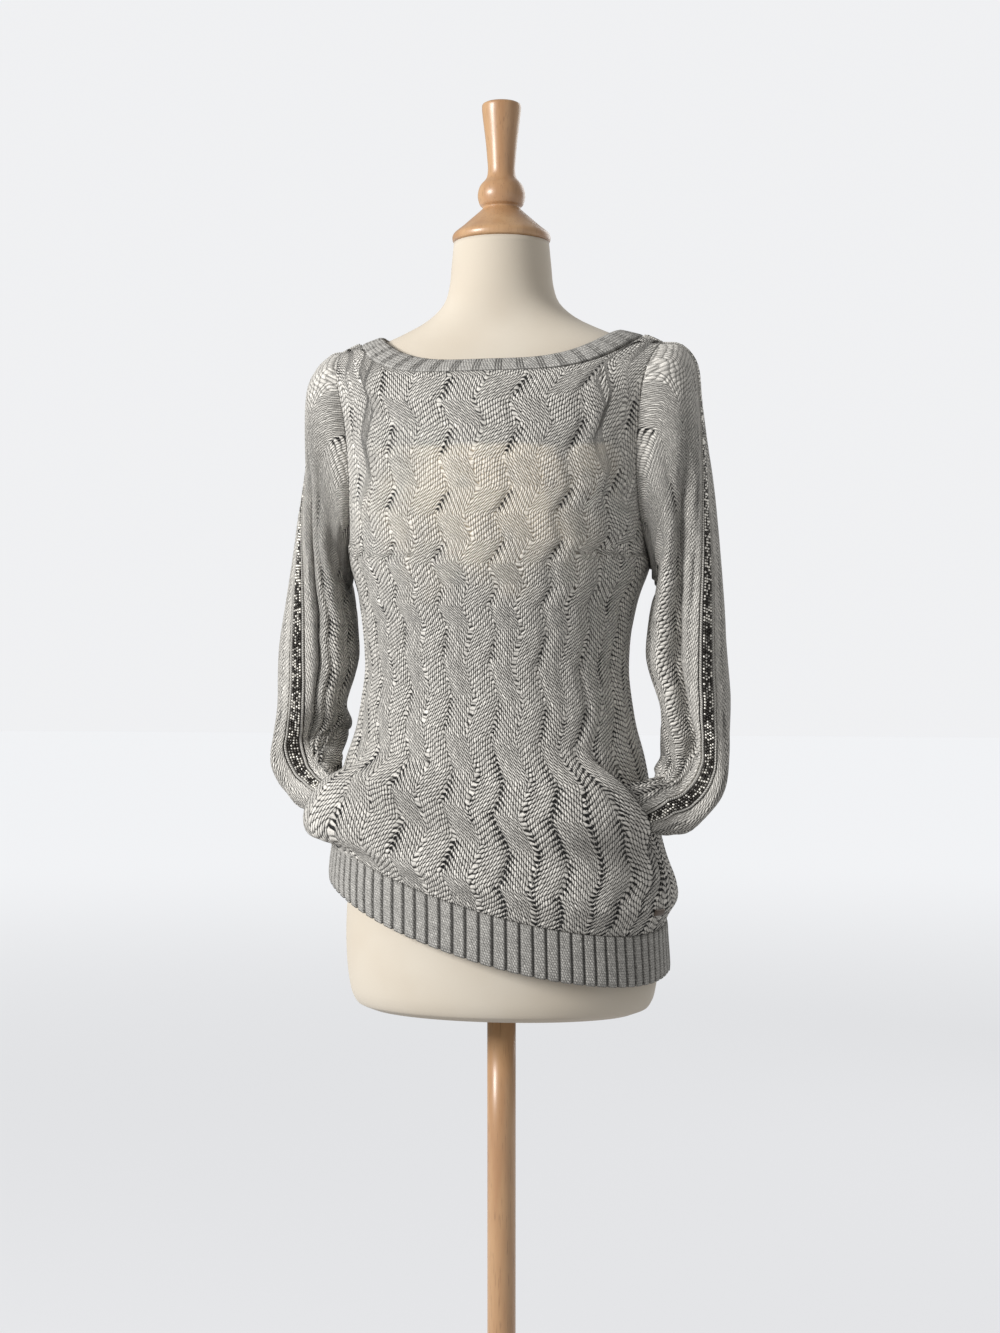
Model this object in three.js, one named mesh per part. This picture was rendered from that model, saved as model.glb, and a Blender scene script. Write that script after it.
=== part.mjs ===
// A cable knit sweater on a limbless dress form. Millimetres, +Z up, the front faces -Y.
// The origin is the centre of the stand's underside. "Right" and "left" are the viewer's.
// The sweater is cut as a front, a back, two sleeves, a ribbed neckband and a ribbed hem, with a
// bead trim along each shoulder and sleeve. Both sleeve ends are tucked into slanted side pockets.
import * as THREE from "three";

// Cloth
const WALL = 2; // plain thickness of the knit
const SEAM = 0.4; // gap between pieces that are sewn together
const RELIEF = 1.8; // how far a cable stands proud of the plain knit
const RIB_RELIEF = 1.6;
const BLOUSE = 8.5; // how far the knit bags over the hem rib
const BLOUSE_HEIGHT = 26; // above the rib
const BLOUSE_SPREAD = 30;
const PULL_IN = 2; // the rib's top edge is drawn in by this
const BAND_HEIGHT = 50; // hem rib

// Cables of the front and back
const REPEATS = 8; // cables from side seam to side seam
const COLUMNS_PER_REPEAT = 4;
const COLUMNS = REPEATS * COLUMNS_PER_REPEAT;
const ROWS_BELOW = 18; // from the hem rib to the underarm
const ROWS_ABOVE = 12; // from the underarm to the neckline
const ROWS = ROWS_BELOW + ROWS_ABOVE;
const ZIGZAGS = 7.5; // periods of a cable from the hem rib to the neckline
const SWING = 0.045; // how far a cable line swings, as a share of half the panel
const UNDERARM = 1152;
const UNDERARM_DIP = 15; // the row that meets the underarm is lower at the centre

// Neckline and shoulder
const NECK = {
  outerX: 151, outerZ: 1346, outerRise: 45, outerPower: 4.2,
  innerX: 126, innerZ: 1361, innerRise: 36, innerPower: 3.4, innerFront: 80,
  backRise: 22, innerBack: 68,
};
const NECK_RIBS = 20; // in each half of the neckband
const TRIM_HALF = 8.5; // half the width of the bead trim
const TRIM_SEAM = 1.2; // gap on each side of it
const TRIM_PROUD = 1; // the trim's middle stands this proud

// Hem rib
const HEM = { level: 785, slant: 50, frontDip: 28 };
const HEM_RIBS = 41; // in each half

// Rows of the body from the hem up: half width, front depth, back depth and sideways shift.
const BODY = [
  { z: 690, half: 179, front: 128, back: 124, shift: -2 },
  { z: 780, half: 178, front: 128, back: 124, shift: -2.5 },
  { z: 830, half: 179, front: 127, back: 124, shift: -4 },
  { z: 865, half: 175, front: 125, back: 122, shift: -6 },
  { z: 900, half: 168, front: 121, back: 117, shift: -7 },
  { z: 924, half: 162, front: 117, back: 112, shift: -7 },
  { z: 955, half: 156, front: 113, back: 107, shift: -7 },
  { z: 992, half: 145, front: 108, back: 101, shift: -6.5 },
  { z: 1034, half: 138, front: 105, back: 96, shift: -6 },
  { z: 1065, half: 138, front: 107, back: 97, shift: -5 },
  { z: 1095, half: 141, front: 112, back: 99, shift: -4 },
  { z: 1127, half: 148, front: 119, back: 101, shift: -3 },
  { z: 1158, half: 158, front: 125, back: 103, shift: -1.5 },
  { z: 1205, half: 163, front: 129, back: 104, shift: 0 },
  { z: 1250, half: 168, front: 127, back: 105, shift: 0 },
  { z: 1300, half: 179, front: 118, back: 104, shift: 0 },
  { z: 1335, half: 198, front: 108, back: 100, shift: 0 },
  { z: 1353, half: 207, front: 96, back: 92, shift: 0 },
  { z: 1364, half: 200, front: 82, back: 82, shift: 0 },
  { z: 1374, half: 188, front: 68, back: 70, shift: 0 },
  { z: 1382, half: 172, front: 56, back: 60, shift: 0 },
  { z: 1388, half: 160, front: 46, back: 50, shift: 0 },
  { z: 1392, half: 150, front: 36, back: 40, shift: 0 },
];

// How far the armhole is from the middle, by height.
const ARMHOLE = [
  { z: UNDERARM, x: 160 },
  { z: 1180, x: 156 },
  { z: 1215, x: 152 },
  { z: 1260, x: 151 },
  { z: 1310, x: 155 },
  { z: 1350, x: 162 },
  { z: 1372, x: 168 },
  { z: 1386, x: 171 },
];

// Slanted pocket slits. at is the panel line that a slit opens, top and bottom are its ends as
// shares of half the panel, and the rows are counted up from the hem rib.
const SLITS = [
  { side: 1, at: 0.625, low: 4, high: 8, bottom: 0.765, top: 0.56, lift: 29, middle: 908, under: 2.6 },
  { side: -1, at: -0.625, low: 1, high: 5, bottom: -0.77, top: -0.61, lift: 30, middle: 908, under: 3.6 },
];
const SLIT_REACH = 0.2; // how far around a slit the cloth follows its slant
const LIFT_REACH = 150; // mm over which the lifted layer comes back to the body
const LIFT_HEIGHT = 38; // mm above and below a slit's middle

// Sleeves. Each row is a ring: its middle, the vector from there to the outer edge (or the lower
// edge on the forearm), the vector to the front, and how deep the back is beside the front.
const UPPER_SLEEVE = [
  { x: 166, z: 1266, outX: 5, outZ: 114, front: 52, back: 0.85, turn: 0, turnLeft: 0, left: -2 },
  { x: 178, z: 1260, outX: 13, outZ: 117, front: 54, back: 0.85, turn: 2, turnLeft: 2.5, left: -9 },
  { x: 186.5, z: 1246, outX: 19.5, outZ: 112, front: 53, back: 0.88, turn: 6, turnLeft: 7.5, left: -6 },
  { x: 189.5, z: 1226, outX: 21.5, outZ: 93, front: 52, back: 0.9, turn: 10, turnLeft: 16, left: -7 },
  { x: 192, z: 1202, outX: 25, outZ: 71, front: 51, back: 0.92, turn: 23, turnLeft: 30, left: -11 },
  { x: 194, z: 1174, outX: 29, outZ: 50, front: 50, back: 0.94, turn: 34, turnLeft: 44, left: -9 },
  { x: 195, z: 1142, outX: 33, outZ: 31, front: 48, back: 0.95, turn: 40, turnLeft: 60, left: -6 },
  { x: 196, z: 1104, outX: 37, outZ: 16, front: 46, back: 0.95, turn: 48, turnLeft: 69, left: -2 },
  { x: 197, z: 1060, outX: 39, outZ: 6, front: 46, back: 0.95, turn: 52, turnLeft: 76, left: 3 },
  { x: 205, z: 1012, outX: 34, outZ: 1, front: 47, back: 0.95, turn: 58, turnLeft: 84, left: 0 },
];
// Rings of the forearm, by their place around the body in degrees, height, distance off the body,
// half height, half thickness, lean of the ring's plane in degrees, how far its lower edge is
// round to the side, and the trim's turn on the right and on the left. The left one is higher by
// rise and closer by near.
const FOREARM = [
  { around: 86, z: 972, off: 61, tall: 34, thick: 40, lean: 74, skew: 0, turn: 80, turnLeft: 100, rise: 10, near: 10 },
  { around: 83, z: 940, off: 52, tall: 33, thick: 33, lean: 50, skew: 0, turn: 98, turnLeft: 116, rise: 17, near: 8 },
  { around: 78, z: 913, off: 35, tall: 30, thick: 24, lean: 24, skew: 5, turn: 102, turnLeft: 126, rise: 19, near: 5 },
  { around: 71, z: 906, off: 24.5, tall: 27, thick: 17, lean: 10, skew: 12, turn: 96, turnLeft: 128, rise: 15, near: 3 },
  { around: 62, z: 907, off: 13.5, tall: 24, thick: 9.5, lean: 3, skew: 17, turn: 60, turnLeft: 114, rise: 8, near: 0 },
  { around: 53, z: 908, off: 10, tall: 24, thick: 8, lean: 0, skew: 17, turn: 50, turnLeft: 104, rise: 6, near: 0 },
];
const CUFF = [
  { around: 44, z: 909, off: 7.5, tall: 23, thick: 7.5, lean: 0, skew: 16, turn: 50, turnLeft: 104, rise: 5, near: 0 },
  { around: 33, z: 909, off: 5.5, tall: 22, thick: 6.5, lean: 0, skew: 14, turn: 50, turnLeft: 104, rise: 5, near: 0 },
];
const SLEEVE_SIDES = [
  { side: 1, left: 0, around: 0, shrink: 1 },
  { side: -1, left: 1, around: 3, shrink: 0.8 },
];
const SLEEVE_COLUMNS = ROWS_ABOVE; // half of them in front
const RINGS_PER_ROW = 1.6;
const SLEEVE_REPEATS = 4;
const JOIN_SHARE = 0.3; // of the sleeve over which it leaves the armhole's outline
const CUFF_SEAM = 0.0021; // share of the sleeve left open on each side of the cuff's seam

// Dress form, from the underside up.
const FORM = [
  { z: 690, half: 140, front: 88, back: 96 },
  { z: 696, half: 154, front: 99, back: 108 },
  { z: 715, half: 162, front: 106, back: 113 },
  { z: 760, half: 166, front: 111, back: 115 },
  { z: 810, half: 164, front: 112, back: 114 },
  { z: 860, half: 157, front: 109, back: 108 },
  { z: 920, half: 143, front: 101, back: 98 },
  { z: 980, half: 124, front: 93, back: 88 },
  { z: 1034, half: 113, front: 88, back: 82 },
  { z: 1090, half: 122, front: 94, back: 85 },
  { z: 1150, half: 136, front: 107, back: 91 },
  { z: 1205, half: 145, front: 118, back: 95 },
  { z: 1260, half: 149, front: 111, back: 96 },
  { z: 1310, half: 151, front: 97, back: 93 },
  { z: 1345, half: 156, front: 78, back: 82 },
  { z: 1366, half: 158, front: 62, back: 68 },
  { z: 1380, half: 148, front: 53, back: 59 },
  { z: 1390, half: 128, front: 48, back: 53 },
  { z: 1400, half: 104, front: 46, back: 50 },
  { z: 1412, half: 80, front: 46, back: 48 },
  { z: 1428, half: 62, front: 48, back: 49 },
  { z: 1446, half: 55, front: 50, back: 50 },
  { z: 1468, half: 52.5, front: 50.5, back: 50.5 },
  { z: 1493, half: 50, front: 50, back: 50 },
];
const FORM_COLUMNS = 28;

// Neck cap and finial, turned from wood: radius by height.
const CAP = [
  { z: 1493.3, r: 49 }, { z: 1496, r: 51 }, { z: 1501, r: 51 }, { z: 1504, r: 48.5 },
  { z: 1510, r: 41 }, { z: 1518, r: 32 }, { z: 1525, r: 24 }, { z: 1529, r: 20 },
  { z: 1534, r: 23 }, { z: 1543, r: 25 }, { z: 1553, r: 22.5 }, { z: 1561, r: 16 },
  { z: 1570, r: 14.3 }, { z: 1600, r: 16.6 }, { z: 1630, r: 20.2 }, { z: 1637, r: 20.5 },
  { z: 1640, r: 17.5 },
];
const BASE = { radius: 200, height: 20, bevel: 5 };
const POLE = { radius: 15, boss: 30, bossHeight: 26 };
const ROUND = 28;

// Metal bar above the hem rib
const BAR = { around: 69.5, z: 801, width: 17.5, height: 6.5, thick: 1.3, off: -0.3 };

const FRONT = 1;
const BACK = -1;
const RAD = Math.PI / 180;

// A value read from a table by height, smooth between its rows.
function read(table, key, z, by = "z") {
  let i = 0;
  while (i < table.length - 2 && table[i + 1][by] < z) i++;
  const a = table[i], b = table[i + 1];
  const before = table[Math.max(i - 1, 0)], after = table[Math.min(i + 2, table.length - 1)];
  const span = b[by] - a[by];
  const t = THREE.MathUtils.clamp((z - a[by]) / span, 0, 1);
  const slopeA = i > 0 ? (b[key] - before[key]) / (b[by] - before[by]) : (b[key] - a[key]) / span;
  const slopeB = after !== b ? (after[key] - a[key]) / (after[by] - a[by]) : (b[key] - a[key]) / span;
  const t2 = t * t, t3 = t2 * t;
  return (2 * t3 - 3 * t2 + 1) * a[key] + (t3 - 2 * t2 + t) * span * slopeA
    + (3 * t2 - 2 * t3) * b[key] + (t3 - t2) * span * slopeB;
}

const mix = (a, b, t) => a + (b - a) * t;
const smooth = (t) => THREE.MathUtils.smoothstep(t, 0, 1);

// Where a rising function of z crosses zero.
function solve(f, low, high) {
  for (let i = 0; i < 40; i++) {
    const mid = (low + high) / 2;
    if (f(mid) > 0) high = mid;
    else low = mid;
  }
  return (low + high) / 2;
}

// Height of the hem's lower edge at an angle round the body, 0 in front and 90 degrees at the right.
function hemHeight(angle) {
  return HEM.level - HEM.slant * Math.sin(angle) - HEM.frontDip * Math.max(0, Math.cos(angle));
}

// How far the cloth stands off its table, by its height above the hem.
function blouse(above) {
  if (above < BAND_HEIGHT) return -PULL_IN * smooth(above / BAND_HEIGHT);
  const rise = (above - BAND_HEIGHT) / BLOUSE_HEIGHT;
  const top = -PULL_IN + (BLOUSE + PULL_IN) * smooth(rise);
  const fall = Math.exp(-Math.pow(Math.max(0, above - BAND_HEIGHT - BLOUSE_HEIGHT) / BLOUSE_SPREAD, 2));
  return top * fall;
}

// The panel's edge: 90 degrees below the underarm, and the armhole above it.
function edgeAngle(z) {
  if (z <= UNDERARM) return Math.PI / 2;
  const share = read(ARMHOLE, "x", z) / read(BODY, "half", z);
  return Math.asin(THREE.MathUtils.clamp(share, -1, 1));
}

// A point of the body at an angle round it and a height.
function bodyAt(angle, z, face) {
  const depth = read(BODY, face === FRONT ? "front" : "back", z);
  const off = blouse(z - hemHeight(face === FRONT ? angle : Math.PI - angle));
  return new THREE.Vector3(
    read(BODY, "shift", z) + (read(BODY, "half", z) + off) * Math.sin(angle),
    -face * (depth + off) * Math.cos(angle),
    z,
  );
}

// The way the body's surface faces there.
function bodyNormal(angle, z, face) {
  const step = 0.01;
  const round = bodyAt(angle + step, z, face).sub(bodyAt(angle - step, z, face));
  const up = bodyAt(angle, z + 1, face).sub(bodyAt(angle, z - 1, face));
  return round.cross(up).multiplyScalar(face).normalize();
}

// Height of the neckband's outer edge.
function neckHeight(x, face) {
  const rise = face === FRONT ? NECK.outerRise : NECK.outerRise - NECK.backRise;
  const level = NECK.outerZ + NECK.outerRise - rise;
  return level + rise * Math.pow(Math.min(Math.abs(x) / NECK.outerX, 1), NECK.outerPower);
}

// The panel's top edge: the neckline, and beyond it the shoulder beside the trim.
const tops = new Map();
function topHeight(s, face) {
  const key = s.toFixed(4) + face;
  if (!tops.has(key)) {
    const beyond = (z) => {
      const p = bodyAt(s * edgeAngle(z), z, face);
      const neck = Math.abs(p.x) < NECK.outerX ? z - neckHeight(p.x, face) : -1;
      return Math.max(neck, TRIM_HALF + TRIM_SEAM - Math.abs(p.y));
    };
    tops.set(key, solve(beyond, 1300, 1391));
  }
  return tops.get(key);
}

// Where a panel line runs: it swings with the cables, and follows the slant of a slit beside it.
function lineAt(s, z, swing) {
  let moved = swing;
  for (const slit of SLITS) {
    const low = panelHeight(slit.at, slit.low), high = panelHeight(slit.at, slit.high);
    const share = THREE.MathUtils.clamp((z - low) / (high - low), -0.35, 1.35);
    const away = Math.max(0, Math.abs(z - (low + high) / 2) / (high - low) - 0.5);
    const target = mix(slit.bottom, slit.top, share) - slit.at;
    const hold = Math.exp(-Math.pow((s - slit.at) / SLIT_REACH, 2)) * Math.exp(-away * away * 4);
    moved = mix(moved, target, hold);
  }
  return s + moved;
}

// Height of a panel's row.
function panelHeight(s, row, face = FRONT) {
  const angle = (s * Math.PI) / 2;
  const bottom = hemHeight(face === FRONT ? angle : Math.PI - angle) + BAND_HEIGHT + SEAM;
  const middle = UNDERARM - UNDERARM_DIP * (1 - s * s);
  if (row <= ROWS_BELOW) return mix(bottom, middle, row / ROWS_BELOW);
  return mix(middle, topHeight(s, face), (row - ROWS_BELOW) / ROWS_ABOVE);
}

// A wave of straight strokes from -1 to 1.
function zigzag(v) {
  const t = v - Math.floor(v);
  return t < 0.5 ? 4 * t - 1 : 3 - 4 * t;
}

// Height of a cable over the plain knit: a valley at whole repeats and a slight crease midway.
function cable(u) {
  const t = Math.abs(u - Math.round(u)) * 2;
  return RELIEF * (Math.sin(Math.min(t * 1.25, 1) * Math.PI * 0.5) - 0.3 * smooth((t - 0.6) / 0.4));
}

// How far the layer over a tucked sleeve end stands off the body.
function lifted(s, z, onOuterSide) {
  let off = 0;
  for (const slit of SLITS) {
    const low = panelHeight(slit.at, slit.low), high = panelHeight(slit.at, slit.high);
    const share = (z - low) / (high - low);
    const line = mix(slit.bottom, slit.top, THREE.MathUtils.clamp(share, -0.35, 1.35));
    const inward = (line - s) * slit.side * 215; // mm from the slit towards the middle
    const along = Math.exp(-Math.pow((z - slit.middle) / LIFT_HEIGHT, 4));
    if (inward < -2 || onOuterSide === slit.side) continue;
    off += slit.lift * along * (0.5 + 0.5 * Math.cos(Math.PI * Math.min(1, Math.max(0, inward) / LIFT_REACH)));
  }
  return off;
}

// One closed wall from a grid of outer points over a plain inside. Every step-th column of the
// grid carries the inside. cut names the grid lines that open into a slit, with its two rows.
function wall(columns, rows, step, outer, inner, cuts = [], ring = false) {
  const points = [], faces = [];
  const ids = new Map();
  const idOf = (kind, i, j, side) => {
    const cut = cuts.find((c) => c.column === i && j > c.low && j < c.high);
    const column = ring ? i % columns : i;
    const key = kind + "," + column + "," + j + "," + (cut ? side : 0);
    if (!ids.has(key)) {
      ids.set(key, points.length);
      points.push((kind === "o" ? outer : inner)(column, j, cut ? side : 0));
    }
    return ids.get(key);
  };
  const add = (...list) => faces.push(list);
  for (let j = 0; j < rows; j++) {
    for (let i = 0; i < columns; i++) {
      const a = idOf("o", i, j, 1), b = idOf("o", i + 1, j, -1);
      const c = idOf("o", i + 1, j + 1, -1), d = idOf("o", i, j + 1, 1);
      if ((i + j) % 2) add(a, b, c) && add(a, c, d);
      else add(a, b, d) && add(b, c, d);
    }
    for (let i = 0; i < columns; i += step) {
      const a = idOf("i", i, j, 1), b = idOf("i", i + step, j, -1);
      const c = idOf("i", i + step, j + 1, -1), d = idOf("i", i, j + 1, 1);
      add(a, c, b) && add(a, d, c);
    }
  }
  // A rim runs along a row: a fan of outer steps over each inner step.
  const rowRim = (j, turn) => {
    for (let i = 0; i < columns; i += step) {
      const from = idOf("i", i, j, 1), to = idOf("i", i + step, j, -1);
      const half = Math.floor(step / 2);
      for (let k = 0; k < step; k++) {
        const p = idOf("o", i + k, j, 1), q = idOf("o", i + k + 1, j, -1);
        const at = k < half || step === 1 ? from : to;
        turn ? add(p, q, at) : add(q, p, at);
      }
      const middle = idOf("o", step === 1 ? i + 1 : i + half, j, step === 1 ? -1 : 1);
      turn ? add(middle, to, from) : add(to, middle, from);
    }
  };
  // A rim runs up a column between two rows.
  const columnRim = (i, low, high, side) => {
    for (let j = low; j < high; j++) {
      const a = idOf("o", i, j, side), b = idOf("o", i, j + 1, side);
      const c = idOf("i", i, j + 1, side), d = idOf("i", i, j, side);
      side > 0 ? add(a, b, c) && add(a, c, d) : add(b, a, c) && add(c, a, d);
    }
  };
  rowRim(0, false);
  rowRim(rows, true);
  if (!ring) {
    columnRim(0, 0, rows, 1);
    columnRim(columns, 0, rows, -1);
  }
  for (const cut of cuts) {
    columnRim(cut.column, cut.low, cut.high, 1);
    columnRim(cut.column, cut.low, cut.high, -1);
  }
  return geometryOf(points, faces.flat());
}

// A geometry from points and triangle corners, turned inside out if its volume is negative.
function geometryOf(points, corners) {
  let volume = 0;
  for (let i = 0; i < corners.length; i += 3) {
    const [a, b, c] = [points[corners[i]], points[corners[i + 1]], points[corners[i + 2]]];
    volume += a.dot(b.clone().cross(c));
  }
  if (volume < 0) corners.reverse();
  const geometry = new THREE.BufferGeometry();
  geometry.setAttribute("position", new THREE.Float32BufferAttribute(points.flatMap((p) => p.toArray()), 3));
  geometry.setIndex(corners);
  geometry.computeVertexNormals();
  return geometry;
}

// A closed solid through rings of points, each ring closed, with flat ends.
function lofted(rings) {
  const sides = rings[0].length;
  const points = rings.flat();
  const corners = [];
  for (let j = 0; j < rings.length - 1; j++) {
    for (let i = 0; i < sides; i++) {
      const a = j * sides + i, b = j * sides + ((i + 1) % sides);
      corners.push(a, b, b + sides, a, b + sides, a + sides);
    }
  }
  const centre = (ring) => ring.reduce((sum, p) => sum.add(p), new THREE.Vector3()).divideScalar(sides);
  const low = points.push(centre(rings[0])) - 1;
  const high = points.push(centre(rings[rings.length - 1])) - 1;
  const last = (rings.length - 1) * sides;
  for (let i = 0; i < sides; i++) {
    corners.push(low, (i + 1) % sides, i, high, last + i, last + ((i + 1) % sides));
  }
  return geometryOf(points, corners);
}

// Front or back panel, with its cables in the outer points.
function panel(face) {
  const cuts = face === FRONT
    ? SLITS.map((slit) => ({ column: ((slit.at + 1) * COLUMNS) / 2, low: slit.low, high: slit.high }))
    : [];
  const place = (i, j, side) => {
    const even = Math.abs(i - COLUMNS / 2) === COLUMNS / 2 && j > ROWS_BELOW && (j - ROWS_BELOW) % 2;
    if (even) {
      const before = place(i, j - 1, side), after = place(i, j + 1, side);
      return { point: before.point.lerp(after.point, 0.5), normal: before.normal.lerp(after.normal, 0.5).normalize(), s: before.s, z: (before.z + after.z) / 2 };
    }
    let s = -1 + (2 * i) / COLUMNS;
    const inside = Math.max(0, 1 - Math.pow(Math.abs(s), 8));
    const fade = smooth(j / 2) * smooth((ROWS - j) / 2);
    const z = panelHeight(s, j, face);
    const swing = SWING * zigzag((j / ROWS) * ZIGZAGS) * fade;
    const line = face === FRONT && j > 0 ? lineAt(s, z, swing) : s + swing;
    s = mix(s, line, Math.abs(s) > 0.8 ? inside : 1);
    const seam = (SEAM / 2 / read(BODY, "half", z)) * Math.pow(s, 15);
    const angle = s * edgeAngle(z) - seam;
    const point = bodyAt(angle, z, face);
    return { point, normal: bodyNormal(angle, z, face), s, z };
  };
  const at = (i, j, side, off) => {
    const here = place(i, j, side);
    const lift = face === FRONT ? lifted(here.s, here.z, side) : 0;
    return here.point.addScaledVector(here.normal, off + lift);
  };
  const height = (i, j) => {
    const fade = smooth(j / 1.5) * smooth((ROWS - j) / 1.5) * smooth(Math.min(i, COLUMNS - i) / 1.5);
    return cable((i + COLUMNS_PER_REPEAT / 2) / COLUMNS_PER_REPEAT) * fade;
  };
  return wall(
    COLUMNS, ROWS, 2,
    (i, j, side) => at(i, j, side, height(i, j)),
    (i, j, side) => at(i, j, side, -WALL),
    cuts,
  );
}

// Half of the hem rib: three grid lines to a rib, at its groove and at both edges of its top.
function hemRib(face) {
  const lines = [0, 0.22, 0.84];
  const at = (i, j, off) => {
    const s = -1 + (2 * (Math.floor(i / 3) + lines[i % 3])) / HEM_RIBS;
    const angle = (s * Math.PI) / 2 - (SEAM / 2 / 178) * Math.pow(s, 15);
    const z = hemHeight(face === FRONT ? angle : Math.PI - angle) + j * BAND_HEIGHT;
    return bodyAt(angle, z, face).addScaledVector(bodyNormal(angle, Math.max(z, 700), face), off);
  };
  return wall(
    HEM_RIBS * 3, 1, 3,
    (i, j) => at(i, j, i % 3 ? RIB_RELIEF : 0),
    (i, j) => at(i, j, -WALL),
  );
}

// Half of the neckband, from its outer edge on the panels to its upper edge at the neck.
function neckband(face) {
  const lines = [0, 0.5, 0.6, 0.9];
  const rise = face === FRONT ? NECK.innerRise : NECK.innerRise - NECK.backRise * 0.6;
  const level = NECK.innerZ + NECK.innerRise - rise;
  const tops = Array.from({ length: COLUMNS + 1 }, (_, i) => {
    const s = -1 + (2 * i) / COLUMNS;
    const z = topHeight(s, face);
    return bodyAt(s * edgeAngle(z), z, face);
  });
  // The panel's top edge by distance from the middle, and the shoulder beyond it.
  const edge = (share) => {
    const x = NECK.outerX * Math.sin(((share * 2 - 1) * Math.PI) / 2);
    const i = Math.max(1, tops.findIndex((p) => p.x >= x));
    const a = tops[i - 1], b = tops[i];
    const point = a.clone().lerp(b, (x - a.x) / (b.x - a.x));
    const end = smooth((Math.abs(x) - NECK.outerX + 5) / 5);
    point.y = mix(point.y, 0, end);
    point.z = mix(point.z, neckHeight(x, face), end);
    return point;
  };
  const lip = (share) => {
    const angle = ((share * 2 - 1) * Math.PI) / 2;
    const x = NECK.innerX * Math.sin(angle);
    const y = (face === FRONT ? NECK.innerFront : NECK.innerBack) * Math.pow(Math.cos(angle), 0.9);
    return new THREE.Vector3(x, -face * y, level + rise * Math.pow(Math.abs(Math.sin(angle)), NECK.innerPower));
  };
  const at = (i, j, off) => {
    const share = (Math.floor(i / 4) + lines[i % 4]) / NECK_RIBS;
    const held = THREE.MathUtils.clamp(share, 0.001, 0.999);
    const low = edge(held), high = lip(held);
    const along = edge(Math.min(held + 0.002, 1)).sub(edge(Math.max(held - 0.002, 0)));
    const up = high.clone().sub(low).normalize();
    const angle = Math.asin(THREE.MathUtils.clamp(low.x / read(BODY, "half", low.z), -1, 1));
    const normal = j ? along.cross(up).multiplyScalar(face).normalize() : bodyNormal(angle, low.z, face);
    low.addScaledVector(up, SEAM * 3.6);
    normal.y *= 1 - Math.pow(Math.abs(2 * share - 1), 40);
    const point = j ? high : low;
    point.y -= face * SEAM * 0.5 * Math.pow(Math.abs(2 * share - 1), 40);
    return point.addScaledVector(normal, off);
  };
  return wall(
    NECK_RIBS * 4, 1, 4,
    (i, j) => at(i, j, i % 4 < 2 ? RIB_RELIEF : 0),
    (i, j) => at(i, j, -WALL),
  );
}

// The rings of one sleeve, as middles and vectors, from the armhole to the cuff's end.
function sleeveRings(hand, rows) {
  const upper = UPPER_SLEEVE.map((row, i) => {
    const more = hand.left * row.left;
    return {
      middle: new THREE.Vector3(hand.side * (row.x + more * 0.5), -6 * smooth(i / 9), row.z),
      out: new THREE.Vector3(hand.side * (row.outX + more * 0.5), 0, row.outZ),
      front: new THREE.Vector3(0, -row.front, 0),
      back: row.back,
      turn: hand.left ? row.turnLeft : row.turn,
    };
  });
  const lower = rows.map((row) => {
    const angle = hand.side * (row.around + hand.around) * RAD;
    const z = row.z + hand.left * row.rise;
    const facing = bodyNormal(angle, z, FRONT);
    facing.z = 0;
    facing.normalize();
    const lean = row.lean * RAD;
    const tall = mix(row.tall * hand.shrink, row.tall, Math.sin(lean));
    const aside = new THREE.Vector3(-facing.y, facing.x, 0).multiplyScalar(hand.side * row.skew);
    return {
      middle: bodyAt(angle, z, FRONT).addScaledVector(facing, row.off - hand.left * row.near),
      out: aside.add(new THREE.Vector3(0, 0, -tall * Math.cos(lean))).addScaledVector(facing, tall * Math.sin(lean)),
      front: facing.clone().multiplyScalar(row.thick * Math.cos(lean))
        .add(new THREE.Vector3(hand.side * 0.1, -1, 0).normalize().multiplyScalar(row.thick * Math.sin(lean))),
      back: 1,
      turn: hand.left ? row.turnLeft : row.turn,
    };
  });
  return upper.concat(lower);
}

// A curve through one kind of vector of the rings.
function through(rings, key) {
  return new THREE.CatmullRomCurve3(rings.map((ring) => ring[key]), false, "catmullrom", 0.5);
}

// A function that gives a point of a sleeve: along it from 0 to 1, round it in radians.
function sleeveSurface(hand) {
  const rings = sleeveRings(hand, FOREARM.concat(CUFF));
  const middle = through(rings, "middle"), out = through(rings, "out"), front = through(rings, "front");
  const number = (key, t) => {
    const at = t * (rings.length - 1), i = Math.min(Math.floor(at), rings.length - 2);
    return mix(rings[i][key], rings[i + 1][key], at - i);
  };
  const ringPoint = (t, angle) => {
    const c = Math.cos(angle), s = Math.sin(angle);
    const depth = s < 0 ? number("back", t) : 1;
    return middle.getPoint(t).addScaledVector(out.getPoint(t), c).addScaledVector(front.getPoint(t), s * depth);
  };
  const turn = (t) => number("turn", t) * RAD;
  const trimAngle = (t) => (TRIM_HALF + TRIM_SEAM) / out.getPoint(t).length();
  return { rings, ringPoint, turn, trimAngle };
}

// The armhole's outline in sleeve columns: front from the trim down, then back up to the trim.
function armholePoint(side, share) {
  const face = share < 0.5 ? FRONT : BACK;
  const down = 1 - Math.abs(share * 2 - 1);
  const z = mix(topHeight(side, face), UNDERARM, down);
  const p = bodyAt(side * edgeAngle(z), z, face);
  p.x += side * SEAM;
  if (down === 1) p.y = 0;
  return p;
}

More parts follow.
